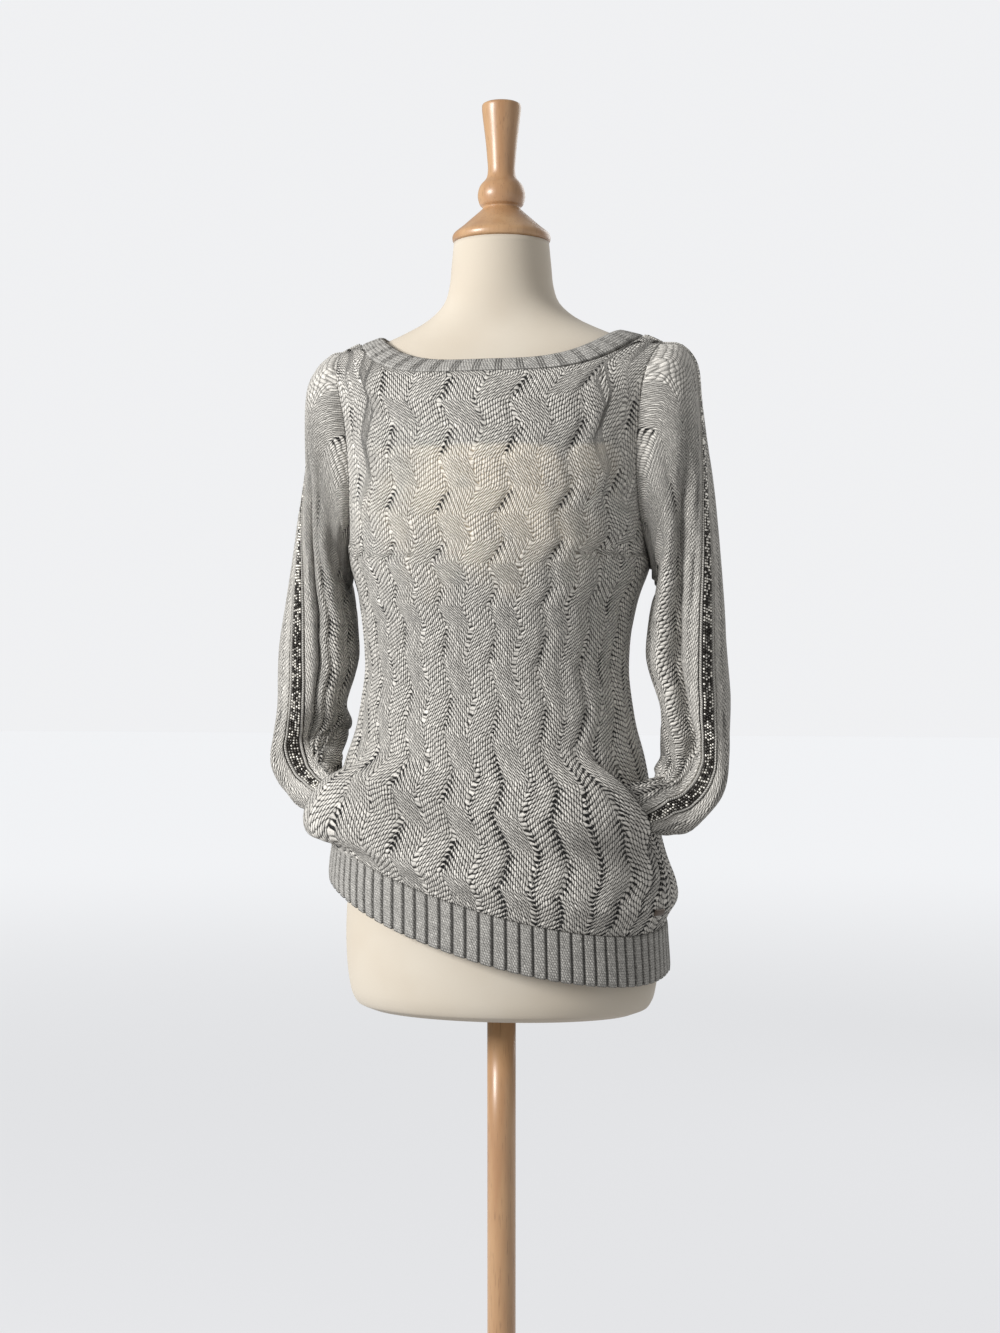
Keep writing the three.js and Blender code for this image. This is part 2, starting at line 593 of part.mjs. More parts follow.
// A sleeve from the armhole: share runs round it from the trim's front edge to its back edge.
function sleeveAt(hand, surface, t, share) {
  const start = surface.turn(t) + surface.trimAngle(t);
  const end = surface.turn(t) + Math.PI * 2 - surface.trimAngle(t);
  const seam = Math.PI;
  const angle = share < 0.5 ? mix(start, seam, share * 2) : mix(seam, end, share * 2 - 1);
  const point = surface.ringPoint(t, angle);
  const first = share < 0.5
    ? mix(surface.trimAngle(0), seam, share * 2)
    : mix(seam, Math.PI * 2 - surface.trimAngle(0), share * 2 - 1);
  const stay = 1 - smooth(t / JOIN_SHARE);
  return point.addScaledVector(armholePoint(hand.side, share).sub(surface.ringPoint(0, first)), stay);
}

// The way a surface of two shares faces, away from a middle point.
function facingOf(pointAt, t, share, middle) {
  const step = 0.004;
  const t0 = Math.max(t - step, 0), t1 = Math.min(t + step, 1);
  const s0 = Math.max(share - step, 0), s1 = Math.min(share + step, 1);
  const normal = pointAt(t1, share).sub(pointAt(t0, share)).cross(pointAt(t, s1).sub(pointAt(t, s0))).normalize();
  if (normal.dot(pointAt(t, share).sub(middle)) < 0) normal.negate();
  return normal;
}

const group = new THREE.Group();
const knit = () => new THREE.MeshStandardMaterial({ color: 0xb9b7b0, roughness: 0.95 });
const cover = () => new THREE.MeshStandardMaterial({ color: 0xe4dac8, roughness: 0.8 });
const wood = () => new THREE.MeshStandardMaterial({ color: 0xb9834f, roughness: 0.4 });
const beads = () => new THREE.MeshStandardMaterial({ color: 0x5d584c, roughness: 0.35, metalness: 0.6 });
const bronze = () => new THREE.MeshStandardMaterial({ color: 0x4d4336, roughness: 0.35, metalness: 0.9 });

function add(name, geometry, material) {
  const mesh = new THREE.Mesh(geometry, material);
  mesh.name = name;
  group.add(mesh);
}

// A sleeve, its cuff and its bead trim.
function sleeve(hand) {
  const name = hand.side > 0 ? "right" : "left";
  const surface = sleeveSurface(hand);
  const rows = surface.rings.length - 1;
  const cuffFrom = (rows - CUFF.length) / rows;
  const rings = Math.round((rows - CUFF.length) * RINGS_PER_ROW);
  const middleAt = (t) => surface.ringPoint(t, 0).add(surface.ringPoint(t, Math.PI)).multiplyScalar(0.5);
  const pointAt = (t, share) => sleeveAt(hand, surface, t, share);
  const at = (i, j, off) => {
    const t = (j / rings) * (cuffFrom - CUFF_SEAM), share = i / SLEEVE_COLUMNS;
    return pointAt(t, share).addScaledVector(facingOf(pointAt, t, share, middleAt(t)), off);
  };
  add("sleeve_" + name, wall(
    SLEEVE_COLUMNS, rings, 1,
    (i, j) => at(i, j, cable((i / SLEEVE_COLUMNS) * SLEEVE_REPEATS) * smooth(j / 2) * smooth((rings - j) / 5)),
    (i, j) => at(i, j, -WALL),
  ), knit());

  const trimPoint = (t, across) => {
    const angle = surface.turn(t) + across * (TRIM_HALF / (TRIM_HALF + TRIM_SEAM)) * surface.trimAngle(t);
    const front = armholePoint(hand.side, 0).sub(surface.ringPoint(0, surface.trimAngle(0)));
    const back = armholePoint(hand.side, 1).sub(surface.ringPoint(0, -surface.trimAngle(0)));
    const stay = 1 - smooth(t / JOIN_SHARE);
    return surface.ringPoint(t, angle).addScaledVector(front.lerp(back, (1 - across) / 2), stay);
  };
  const shoulderRows = 2;
  const trimAt = (i, j, off) => {
    const across = i - 1;
    if (j < shoulderRows) {
      const x = mix(NECK.outerX + 1.2, armholePoint(hand.side, 0).x * hand.side - 1, j / shoulderRows);
      const z = solve((h) => TRIM_HALF * Math.abs(across) - depthAt(x, h), 1340, 1391);
      const angle = hand.side * Math.asin(Math.min(1, x / read(BODY, "half", z)));
      const up = across ? bodyNormal(angle, z, across) : new THREE.Vector3(0, 0, 1);
      return new THREE.Vector3(hand.side * x, -across * TRIM_HALF, z).addScaledVector(up, off);
    }
    const t = ((j - shoulderRows) / rings) * (cuffFrom - CUFF_SEAM);
    const point = trimPoint(t, across);
    const normal = facingOf((a, b) => trimPoint(a, b * 2 - 1), t, (across + 1) / 2, middleAt(t));
    return point.addScaledVector(normal, off);
  };
  add("bead_trim_" + name, wall(
    2, rings + shoulderRows, 1,
    (i, j) => trimAt(i, j, i === 1 ? TRIM_PROUD : 0),
    (i, j) => trimAt(i, j, -WALL),
  ), beads());

  const cuffRings = 3;
  const cuffAt = (i, j, off) => {
    const t = mix(cuffFrom + CUFF_SEAM, 1, j / cuffRings);
    const angle = (i / SLEEVE_COLUMNS) * Math.PI * 2 + surface.turn(1) + surface.trimAngle(1);
    const point = surface.ringPoint(t, angle);
    return point.addScaledVector(point.clone().sub(middleAt(t)).normalize(), off);
  };
  add("cuff_" + name, wall(
    SLEEVE_COLUMNS, cuffRings, 1,
    (i, j) => cuffAt(i, j, 0),
    (i, j) => cuffAt(i, j, -WALL),
    [], true,
  ), knit());
}

// Half the body's depth at a distance from the middle and a height, 0 outside it.
function depthAt(x, z) {
  const share = 1 - (x / read(BODY, "half", z)) ** 2;
  return read(BODY, "front", z) * Math.sqrt(Math.max(0, share));
}

// The pocket's underlay, close behind the front.
function pocket(slit) {
  const columns = 5, rows = 5;
  const low = panelHeight(slit.at, slit.low) + 2, high = panelHeight(slit.at, slit.high) + 12;
  const at = (i, j, off) => {
    const z = mix(low, high, j / rows);
    const line = mix(slit.bottom, slit.top, j / rows);
    const s = line + slit.side * mix(0.1, -0.52, i / columns);
    const angle = (s * Math.PI) / 2;
    return bodyAt(angle, z, FRONT).addScaledVector(bodyNormal(angle, z, FRONT), off);
  };
  return wall(columns, rows, 1, (i, j) => at(i, j, -slit.under), (i, j) => at(i, j, -slit.under - 1.5));
}

// The blank metal bar, bent to the cloth.
function bar() {
  const at = (i, j, off) => {
    const angle = BAR.around * RAD + ((i / 3 - 0.5) * BAR.width) / 150;
    const z = BAR.z + (j - 0.5) * BAR.height;
    return bodyAt(angle, z, FRONT).addScaledVector(bodyNormal(angle, BAR.z, FRONT), off);
  };
  const base = RELIEF + BAR.off;
  return wall(3, 1, 1, (i, j) => at(i, j, base + BAR.thick), (i, j) => at(i, j, base));
}

// The dress form's rings, and the turned pieces' outlines.
function formRings() {
  return FORM.map((row) => Array.from({ length: FORM_COLUMNS }, (_, i) => {
    const angle = (i / FORM_COLUMNS) * Math.PI * 2;
    const depth = Math.cos(angle) > 0 ? row.front : row.back;
    return new THREE.Vector3(row.half * Math.sin(angle), -depth * Math.cos(angle), row.z);
  }));
}

// A solid turned about +Z from rows of radius and height.
function turned(rows) {
  const outline = [new THREE.Vector2(0, rows[0].z)];
  for (const row of rows) outline.push(new THREE.Vector2(row.r, row.z));
  outline.push(new THREE.Vector2(0, rows[rows.length - 1].z));
  const geometry = new THREE.LatheGeometry(outline, ROUND);
  geometry.rotateX(Math.PI / 2);
  return geometry;
}

add("front", panel(FRONT), knit());
add("back", panel(BACK), knit());
add("hem_rib_front", hemRib(FRONT), knit());
add("hem_rib_back", hemRib(BACK), knit());
add("neckband_front", neckband(FRONT), knit());
add("neckband_back", neckband(BACK), knit());
for (const hand of SLEEVE_SIDES) sleeve(hand);
for (const slit of SLITS) add("pocket_" + (slit.side > 0 ? "right" : "left"), pocket(slit), knit());
add("metal_bar", bar(), bronze());
add("form_torso", lofted(formRings()), cover());
add("neck_cap", turned(CAP), wood());
add("stand_pole", turned([
  { z: BASE.height + SEAM, r: POLE.boss },
  { z: BASE.height + POLE.bossHeight * 0.5, r: POLE.boss * 0.85 },
  { z: BASE.height + POLE.bossHeight, r: POLE.radius },
  { z: FORM[0].z - SEAM, r: POLE.radius },
]), wood());
add("stand_base", turned([
  { z: 0, r: BASE.radius - BASE.bevel * 0.4 },
  { z: BASE.bevel, r: BASE.radius },
  { z: BASE.height - BASE.bevel, r: BASE.radius },
  { z: BASE.height, r: BASE.radius - BASE.bevel },
]), wood());

export default group;
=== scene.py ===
# A cable knit sweater on a limbless dress form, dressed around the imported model.
# Numbers are millimetres unless a comment says metres, and meshes are turned to metres when they
# are made. +Z is up, the front faces -Y, and "right" and "left" are the viewer's.
import math

import bpy
import numpy as np
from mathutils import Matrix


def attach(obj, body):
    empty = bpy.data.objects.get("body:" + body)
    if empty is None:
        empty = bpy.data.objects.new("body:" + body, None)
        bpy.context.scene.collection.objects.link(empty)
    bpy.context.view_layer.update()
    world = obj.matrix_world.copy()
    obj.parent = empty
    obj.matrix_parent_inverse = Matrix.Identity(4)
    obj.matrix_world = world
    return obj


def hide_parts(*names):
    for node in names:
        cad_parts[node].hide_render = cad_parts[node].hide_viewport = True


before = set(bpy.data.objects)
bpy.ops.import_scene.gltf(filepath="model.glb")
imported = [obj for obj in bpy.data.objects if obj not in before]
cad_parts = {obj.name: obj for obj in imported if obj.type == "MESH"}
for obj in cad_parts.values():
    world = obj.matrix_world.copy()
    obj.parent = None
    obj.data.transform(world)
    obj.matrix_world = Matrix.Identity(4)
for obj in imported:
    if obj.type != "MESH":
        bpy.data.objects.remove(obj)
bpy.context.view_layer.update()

MM = 0.001
MM_EACH_DEGREE = 2.6
FRONT, BACK = 1, -1
RIGHT, LEFT = 1, -1

# Cloth
WALL = 2.0
SEAM = 0.4
ARMHOLE_SEAM = 0.15
RELIEF = 2.2
RIB_RELIEF = 1.7
BLOUSE, BLOUSE_HEIGHT, BLOUSE_SPREAD, PULL_IN = 8.5, 26, 30, 2
BAND_HEIGHT = 50

# Cables of the front and back: counts, rows up from the hem rib, and their zigzag
REPEATS = 8
ROWS_BELOW, ROWS_ABOVE = 18, 12
ROWS = ROWS_BELOW + ROWS_ABOVE
ROW_LENGTH = 17.5
UNDERARM, UNDERARM_DIP = 1152, 15

# Where along the rows each stroke of the zigzag that leans right has its top, how far the
# lines swing, how steeply the courses lean, and how wide the eyelets open, from hem to neck
STROKE_TOPS = (-0.3, 3.7, 7.3, 11.5, 15.35, 17.6, 20.1, 23.1, 26.75, 29.7, 32.6)
ALONG_ROWS = (0, 5, 10, 16, 22, 30)
SWINGS = (0.026, 0.026, 0.022, 0.018, 0.034, 0.036)
LEANS = (0.65, 0.72, 0.85, 0.9, 0.72, 0.68)
OPENINGS = (1.3, 1.2, 0.7, 0.45, 0.8, 1.2)
COURSES = (4.7, 4.6, 4.3, 4.1, 4.5, 4.7)
GRAIN = 3.7
# How close the cables lie, and how far they are moved aside, from hem to neck
CLOSE_ROWS = (0, 3, 7.4, 13, 18, 25, 30)
CLOSENESS = (1.27, 1.25, 1.2, 1.11, 1.03, 1.0, 1.0)
ASIDE = (0, 0, 0.07, 0.15, 0.2, -0.03, -0.03)
STEADY_CABLE = 5

# Neckline, trim and hem
NECK_OUT = {"x": 151, "z": 1346, "rise": 45, "power": 4.2}
NECK_IN = {"x": 126, "z": 1361, "rise": 36, "power": 3.4, FRONT: 80, BACK: 68}
BACK_RISE = 22
NECK_RIBS = 20
TRIM_HALF, TRIM_SEAM = 8.5, 1.2
HEM_LEVEL, HEM_SLANT, HEM_FRONT_DIP = 785, 50, 28
HEM_RIBS, HEM_RIB_WIDTH = 41, 11.8


def table(names, *rows):
    """Columns by name from rows of numbers."""
    return dict(zip(names.split(), np.array(rows, float).T))


# Rows of the body: height, half width, front depth, back depth and sideways shift
BODY = table(
    "z half front back shift",
    (690, 179, 128, 124, -2), (780, 178, 128, 124, -2.5), (830, 179, 127, 124, -4),
    (865, 175, 125, 122, -6), (900, 168, 121, 117, -7), (924, 162, 117, 112, -7),
    (955, 156, 113, 107, -7), (992, 145, 108, 101, -6.5), (1034, 138, 105, 96, -6),
    (1065, 138, 107, 97, -5), (1095, 141, 112, 99, -4), (1127, 148, 119, 101, -3),
    (1158, 158, 125, 103, -1.5), (1205, 163, 129, 104, 0), (1250, 168, 127, 105, 0),
    (1300, 179, 118, 104, 0), (1335, 198, 108, 100, 0), (1353, 207, 96, 92, 0),
    (1364, 200, 82, 82, 0), (1374, 188, 68, 70, 0), (1382, 172, 56, 60, 0),
    (1388, 160, 46, 50, 0), (1392, 150, 36, 40, 0),
)
ARMHOLE = table(
    "z x", (UNDERARM, 160), (1180, 156), (1215, 152), (1260, 151),
    (1310, 155), (1350, 162), (1372, 168), (1386, 171),
)
# Slanted pocket slits, as in the part: the panel line, its rows, the slit's ends and its lift
SLITS = (
    {"side": RIGHT, "at": 0.625, "low": 4, "high": 8, "bottom": 0.765, "top": 0.56,
     "lift": 29, "middle": 908, "under": 2.6},
    {"side": LEFT, "at": -0.625, "low": 1, "high": 5, "bottom": -0.77, "top": -0.61,
     "lift": 30, "middle": 908, "under": 3.6},
)
SLIT_REACH, LIFT_REACH, LIFT_HEIGHT = 0.2, 150, 38

# Sleeve rings: middle, vector to the outer edge, depth to the front, back share, and the trim's
# turn on the right and on the left
UPPER_SLEEVE = table(
    "x z out_x out_z front back turn turn_left left",
    (166, 1266, 5, 114, 52, 0.85, 0, 0, -2), (178, 1260, 13, 117, 54, 0.85, 2, 2.5, -9),
    (186.5, 1246, 19.5, 112, 53, 0.88, 6, 7.5, -6), (189.5, 1226, 21.5, 93, 52, 0.9, 10, 16, -7),
    (192, 1202, 25, 71, 51, 0.92, 23, 30, -11), (194, 1174, 29, 50, 50, 0.94, 34, 44, -9),
    (195, 1142, 33, 31, 48, 0.95, 40, 60, -6), (196, 1104, 37, 16, 46, 0.95, 48, 69, -2),
    (197, 1060, 39, 6, 46, 0.95, 52, 76, 3), (205, 1012, 34, 1, 47, 0.95, 58, 84, 0),
)
FOREARM = table(
    "around z off tall thick lean skew turn turn_left rise near",
    (86, 972, 61, 34, 40, 74, 0, 80, 100, 10, 10), (83, 940, 52, 33, 33, 50, 0, 98, 116, 17, 8),
    (78, 913, 35, 30, 24, 24, 5, 102, 126, 19, 5), (71, 906, 24.5, 27, 17, 10, 12, 96, 128, 15, 3),
    (62, 907, 13.5, 24, 9.5, 3, 17, 60, 114, 8, 0), (53, 908, 10, 24, 8, 0, 17, 50, 104, 6, 0),
    (44, 909, 7.5, 23, 7.5, 0, 16, 50, 104, 5, 0), (33, 909, 5.5, 22, 6.5, 0, 14, 50, 104, 5, 0),
)
CUFF_RINGS = 2
HANDS = (
    {"side": RIGHT, "name": "right", "left": 0, "around": 0, "shrink": 1},
    {"side": LEFT, "name": "left", "left": 1, "around": 3, "shrink": 0.8},
)
SLEEVE_REPEATS = 5
SLEEVE_PERIOD = 58
JOIN_SHARE = 0.3
CUFF_SEAM = 0.0021
SLEEVE_COURSE = 4.3
PLAIN_BAND, BAND_LINE = 8.5, 9.5

# Dress form, neck cap and stand
FORM = table(
    "z half front back",
    (690, 140, 88, 96), (696, 154, 99, 108), (715, 162, 106, 113), (760, 166, 111, 115),
    (810, 164, 112, 114), (860, 157, 109, 108), (920, 143, 101, 98), (980, 124, 93, 88),
    (1034, 113, 88, 82), (1090, 122, 94, 85), (1150, 136, 107, 91), (1205, 145, 118, 95),
    (1260, 149, 111, 96), (1310, 151, 97, 93), (1345, 156, 78, 82), (1366, 158, 62, 68),
    (1380, 148, 53, 59), (1390, 128, 48, 53), (1400, 104, 46, 50), (1412, 80, 46, 48),
    (1428, 62, 48, 49), (1446, 55, 50, 50), (1468, 52.5, 50.5, 50.5), (1493, 50, 50, 50),
)
CAP = (
    (49, 1493.3), (51, 1495), (51.6, 1498), (51, 1501), (48.5, 1504), (41, 1510), (32, 1518),
    (24, 1525), (20, 1529), (20.4, 1531), (23, 1534), (25, 1543), (22.5, 1553), (16, 1561),
    (14.3, 1570), (15, 1582), (16.6, 1600), (18.8, 1618), (20.2, 1630), (20.5, 1636),
    (19.8, 1638.6), (17.5, 1640), (0, 1640),
)
BASE = ((198, 0), (200, 3), (200, 14), (197.5, 18.6), (193, 20), (0, 20))
POLE = ((30, 20.4), (28, 26), (24, 34), (17.5, 42), (15, 48), (15, 689.6))
BEAD_ROWS, BEAD_PITCH, BEAD_RADIUS = (-0.46, -0.155, 0.155, 0.46), 3.1, 1.42
BAR = {"around": 69.5, "z": 801, "width": 17.5, "height": 6.5, "thick": 1.6, "off": -0.2}


def mix(a, b, t):
    """Straight blend from a to b."""
    return a + (b - a) * t


def smooth(t):
    """3t^2 - 2t^3 between 0 and 1, held at both ends."""
    t = np.clip(t, 0, 1)
    return t * t * (3 - 2 * t)


def read(rows, key, z):
    """Value of a column at heights z: cubic Hermite spans whose slopes come from the rows
    before and after."""
    x, y = rows["z"], rows[key]
    slope = np.empty_like(y)
    slope[1:-1] = (y[2:] - y[:-2]) / (x[2:] - x[:-2])
    slope[0] = (y[1] - y[0]) / (x[1] - x[0])
    slope[-1] = (y[-1] - y[-2]) / (x[-1] - x[-2])
    i = np.clip(np.searchsorted(x, z) - 1, 0, len(x) - 2)
    span = x[i + 1] - x[i]
    t = np.clip((z - x[i]) / span, 0, 1)
    return (
        (2 * t**3 - 3 * t**2 + 1) * y[i] + (t**3 - 2 * t**2 + t) * span * slope[i]
        + (3 * t**2 - 2 * t**3) * y[i + 1] + (t**3 - t**2) * span * slope[i + 1]
    )


def hem_height(angle):
    """Height of the hem: a level less a slant by the sine and a front dip by the cosine."""
    return HEM_LEVEL - HEM_SLANT * np.sin(angle) - HEM_FRONT_DIP * np.maximum(0, np.cos(angle))


def blouse(above):
    """How far the cloth stands off: drawn in over the rib, bagging above it, then falling
    away as a bell curve."""
    rise = smooth((above - BAND_HEIGHT) / BLOUSE_HEIGHT)
    beyond = np.maximum(0, above - BAND_HEIGHT - BLOUSE_HEIGHT)
    over = (-PULL_IN + (BLOUSE + PULL_IN) * rise) * np.exp(-((beyond / BLOUSE_SPREAD) ** 2))
    return np.where(above < BAND_HEIGHT, -PULL_IN * smooth(above / BAND_HEIGHT), over)


def edge_angle(z):
    """Angle of a panel's edge: a quarter turn below the underarm, the armhole above it."""
    share = read(ARMHOLE, "x", z) / read(BODY, "half", z)
    return np.where(z <= UNDERARM, math.pi / 2, np.arcsin(np.clip(share, -1, 1)))


def body_at(angle, z, face):
    """Point of the body: an ellipse at each height, with its own front and back depth."""
    depth = read(BODY, "front" if face == FRONT else "back", z)
    off = blouse(z - hem_height(angle if face == FRONT else math.pi - angle))
    x = read(BODY, "shift", z) + (read(BODY, "half", z) + off) * np.sin(angle)
    y = -face * (depth + off) * np.cos(angle)
    return np.stack(np.broadcast_arrays(x, y, z), -1)


def unit(v):
    """Vectors at length 1."""
    return v / np.maximum(np.linalg.norm(v, axis=-1, keepdims=True), 1e-9)


def body_normal(angle, z, face):
    """Way the body faces: cross product of a small step round it and a small step up."""
    step = 0.01
    turn = body_at(angle + step, z, face) - body_at(angle - step, z, face)
    up = body_at(angle, z + 1, face) - body_at(angle, z - 1, face)
    return unit(np.cross(turn, up)) * face


def grid_normals(points, ring=False):
    """Normals of a grid: cross product of the differences along its two directions."""
    if ring:
        wrapped = np.concatenate([points[-2:-1], points, points[1:2]])
        along = (wrapped[2:] - wrapped[:-2]) / 2
    else:
        along = np.gradient(points, axis=0)
    return unit(np.cross(along, np.gradient(points, axis=1)))


def neck_height(x, face):
    """Height of the neckband's outer edge: a power of the distance from the middle."""
    rise = NECK_OUT["rise"] - (0 if face == FRONT else BACK_RISE)
    level = NECK_OUT["z"] + NECK_OUT["rise"] - rise
    return level + rise * np.minimum(np.abs(x) / NECK_OUT["x"], 1) ** NECK_OUT["power"]


def top_height(s, face):
    """Height of a panel's top edge, neckline or shoulder, by halving a span forty times."""
    low = np.full(np.shape(s), 1300.0)
    high = np.full(np.shape(s), 1391.0)
    for _ in range(40):
        z = (low + high) / 2
        p = body_at(s * edge_angle(z), z, face)
        neck = np.where(np.abs(p[..., 0]) < NECK_OUT["x"], z - neck_height(p[..., 0], face), -1)
        beyond = np.maximum(neck, TRIM_HALF + TRIM_SEAM - np.abs(p[..., 1])) > 0
        high, low = np.where(beyond, z, high), np.where(beyond, low, z)
    return (low + high) / 2


def panel_height(s, row, face=FRONT):
    """Height of a panel's row: even steps from rib to underarm, and from there to the top."""
    angle = s * math.pi / 2
    bottom = hem_height(angle if face == FRONT else math.pi - angle) + BAND_HEIGHT + SEAM
    middle = UNDERARM - UNDERARM_DIP * (1 - s * s)
    below = mix(bottom, middle, row / ROWS_BELOW)
    above = mix(middle, top_height(s, face), (row - ROWS_BELOW) / ROWS_ABOVE)
    return np.where(row <= ROWS_BELOW, below, above)


def zigzag(phase):
    """Straight strokes from -1 to 1 and back, once for each whole phase."""
    t = phase % 1
    return np.where(t < 0.5, 4 * t - 1, 3 - 4 * t)


def phase_at(row):
    """Phase of the zigzag at a row: half past a whole number at each stroke's top."""
    return np.interp(row, STROKE_TOPS, np.arange(len(STROKE_TOPS)) - 0.5)


def slit_span(slit):
    """Heights of a slit's two ends."""
    at = np.array(slit["at"])
    return panel_height(at, slit["low"]), panel_height(at, slit["high"])


def line_at(s, z, swing):
    """Where a panel line runs: s plus its swing, held to the slant of a slit beside it."""
    moved = swing
    for slit in SLITS:
        low, high = slit_span(slit)
        share = np.clip((z - low) / (high - low), -0.35, 1.35)
        away = np.maximum(0, np.abs(z - (low + high) / 2) / (high - low) - 0.5)
        target = mix(slit["bottom"], slit["top"], share) - slit["at"]
        hold = np.exp(-(((s - slit["at"]) / SLIT_REACH) ** 2)) * np.exp(-away * away * 4)
        moved = mix(moved, target, hold)
    return s + moved


def lifted(s, z, on_outer_side):
    """How far the layer over a tucked sleeve end stands off: highest at the slit, a cosine
    towards the middle and a fourth power bell up and down."""
    off = np.zeros(np.shape(z))
    for slit in SLITS:
        low, high = slit_span(slit)
        share = np.clip((z - low) / (high - low), -0.35, 1.35)
        inward = (mix(slit["bottom"], slit["top"], share) - s) * slit["side"] * 215
        along = np.exp(-(((z - slit["middle"]) / LIFT_HEIGHT) ** 4))
        fall = 0.5 + 0.5 * np.cos(math.pi * np.minimum(1, np.maximum(0, inward) / LIFT_REACH))
        counts = (inward >= -2) & (on_outer_side != slit["side"])
        off = off + np.where(counts, slit["lift"] * along * fall, 0)
    return off


def strokes(phase):
    """1 on the strokes that lean right, where a cable opens, and 0 on the others."""
    return smooth(np.sin(phase * 2 * math.pi) / 0.5)


def cable_relief(u, phase):
    """Height of a cable over plain knit: a valley at each whole u, steep on its left side
    where the stroke opens, and a slight crease midway."""
    d = u - np.round(u)
    opened = strokes(phase)
    width = np.where(d >= 0, mix(0.2, 0.3, opened), mix(0.2, 0.1, opened))
    crease = 0.3 * smooth((np.abs(d) - 0.3) / 0.2)
    return RELIEF * (smooth(np.abs(d) / width) - crease)


def stitch_map(points, u, rise, size, phase, lean, opening, opening_left=0.0, opening_middle=0.0):
    """Cloth uv and cable uv of a cabled grid. Courses of a given size rise with a height and
    fall away from each whole u, and grains are counted along them. Eyelets fade away to the
    right of it, and to its left and midway between where those openings say."""
    width = np.linalg.norm(np.gradient(points, axis=0), axis=-1) / np.abs(np.gradient(u, axis=0))
    away = np.abs(u - np.round(u)) * width
    steps = np.diff(rise, axis=1) * 2 / (size[:, 1:] + size[:, :-1])
    counted = np.concatenate([0 * rise[:, :1], np.cumsum(steps, 1)], 1)
    d = u - np.round(u)
    opened = strokes(phase)
    course = counted + lean * away / size
    grain = away * np.sqrt(1 + lean * lean) / GRAIN
    right_of = opened * (d >= 0) * np.exp(-np.maximum(away - 1, 0) / 5.5) * opening
    left_of = (1 - opened) * (d <= 0) * np.exp(-np.maximum(away - 1.5, 0) / 5) * opening_left
    from_middle = away * (0.5 - np.abs(d)) / np.maximum(np.abs(d), 0.01)
    middle = (d < 0) * np.exp(-np.maximum(from_middle - 1.5, 0) / 3) * opening_middle * (np.abs(d) > 0.25)
    hole = np.clip(np.maximum(np.maximum(right_of, left_of), middle), 0, 1) * (np.abs(d) < 0.49)
    # Painted shade along each cable's valley and in the crease midway between cables, not a seam
    seam = 0.3 * np.exp(-((away / 1.3) ** 2)) + 0.15 * smooth((np.abs(d) - 0.44) / 0.06)
    return np.stack(np.broadcast_arrays(grain, course, hole, seam), -1)


def wave(a, b, seed):
    """Slow unevenness between -1 and 1: three crossed sines whose turns come from a seed."""
    return (
        np.sin(a * 1.0 + b * 0.6 + seed) + np.sin(a * -0.7 + b * 1.3 + seed * 2.3)
        + np.sin(a * 1.9 + b * 0.4 + seed * 3.1)
    ) / 3


def cable_count(first, repeats, steps):
    """Column places in cables, closer together beside each whole number."""
    w = first + np.linspace(0, repeats, repeats * steps + 1)
    return w - 0.09 * np.sin(2 * math.pi * w)


def wall(outer, inner, uv, ring=False, slits=()):
    """Closed wall between two grids of points: faces over both grids, and rims along their
    open edges and along both lips of each slit. Gives points, faces, face corner uv and the
    number of faces before the rims, which are shaded flat."""
    n, m = outer.shape[0] - 1, outer.shape[1] - 1
    kept = n if ring else n + 1
    ids = np.arange(kept * (m + 1)).reshape(kept, m + 1)
    ids = np.concatenate([ids, ids[:1]]) if ring else ids
    points = [outer[:kept].reshape(-1, 3), inner[:kept].reshape(-1, 3)]
    total = 2 * kept * (m + 1)
    layers = []
    for base in (0, kept * (m + 1)):
        grid = ids + base
        corners = (grid[:-1, :-1], grid[1:, :-1], grid[1:, 1:], grid[:-1, 1:])
        layers.append([ids_at.copy() for ids_at in corners])
    for slit in slits:
        rows = np.arange(slit["low"] + 1, slit["high"])
        column, side = slit["column"], slit["side"]
        for layer, own in zip(layers, (slit["outer"], slit["inner"])):
            points.append(own[rows])
            extra = total + np.arange(len(rows))
            total += len(rows)
            low_corner, high_corner = (0, 3) if side == RIGHT else (1, 2)
            cell = column if side == RIGHT else column - 1
            layer[low_corner][cell, rows] = extra
            layer[high_corner][cell, rows - 1] = extra
    (a, b, c, d), (e, f, g, h) = layers
    corner = [uv[:-1, :-1], uv[1:, :-1], uv[1:, 1:], uv[:-1, 1:]]
    faces, marks = [], []

    def put(corner_ids, corner_uv):
        faces.append(np.stack([x.ravel() for x in corner_ids], 1))
        marks.append(np.stack([x.reshape(-1, 4) for x in corner_uv], 1))

    put((a, b, c, d), corner)
    put((h, g, f, e), corner[::-1])
    rims = [
        ((b, a, e, f), (1, 0, 0, 1), (slice(None), slice(0, 1))),
        ((d, c, g, h), (3, 2, 2, 3), (slice(None), slice(m - 1, m))),
    ]
    if not ring:
        rims.append(((a, d, h, e), (0, 3, 3, 0), (slice(0, 1), slice(None))))
        rims.append(((c, b, f, g), (2, 1, 1, 2), (slice(n - 1, n), slice(None))))
    for slit in slits:
        rows = slice(slit["low"], slit["high"])
        column = slit["column"]
        rims.append(((a, d, h, e), (0, 3, 3, 0), (slice(column, column + 1), rows)))
        rims.append(((c, b, f, g), (2, 1, 1, 2), (slice(column - 1, column), rows)))
    for ids4, uv4, where in rims:
        put([x[where] for x in ids4], [corner[k][where] for k in uv4])
    flat_from = len(faces[0]) + len(faces[1])
    points, faces, marks = np.concatenate(points), np.concatenate(faces), np.concatenate(marks)
    p = points[faces]
    volume = np.einsum("ij,ij->i", p[:, 0], np.cross(p[:, 1], p[:, 2]) + np.cross(p[:, 2], p[:, 3])).sum()
    if volume < 0:
        faces, marks = faces[:, ::-1], marks[:, ::-1]
    return points, faces, marks, flat_from


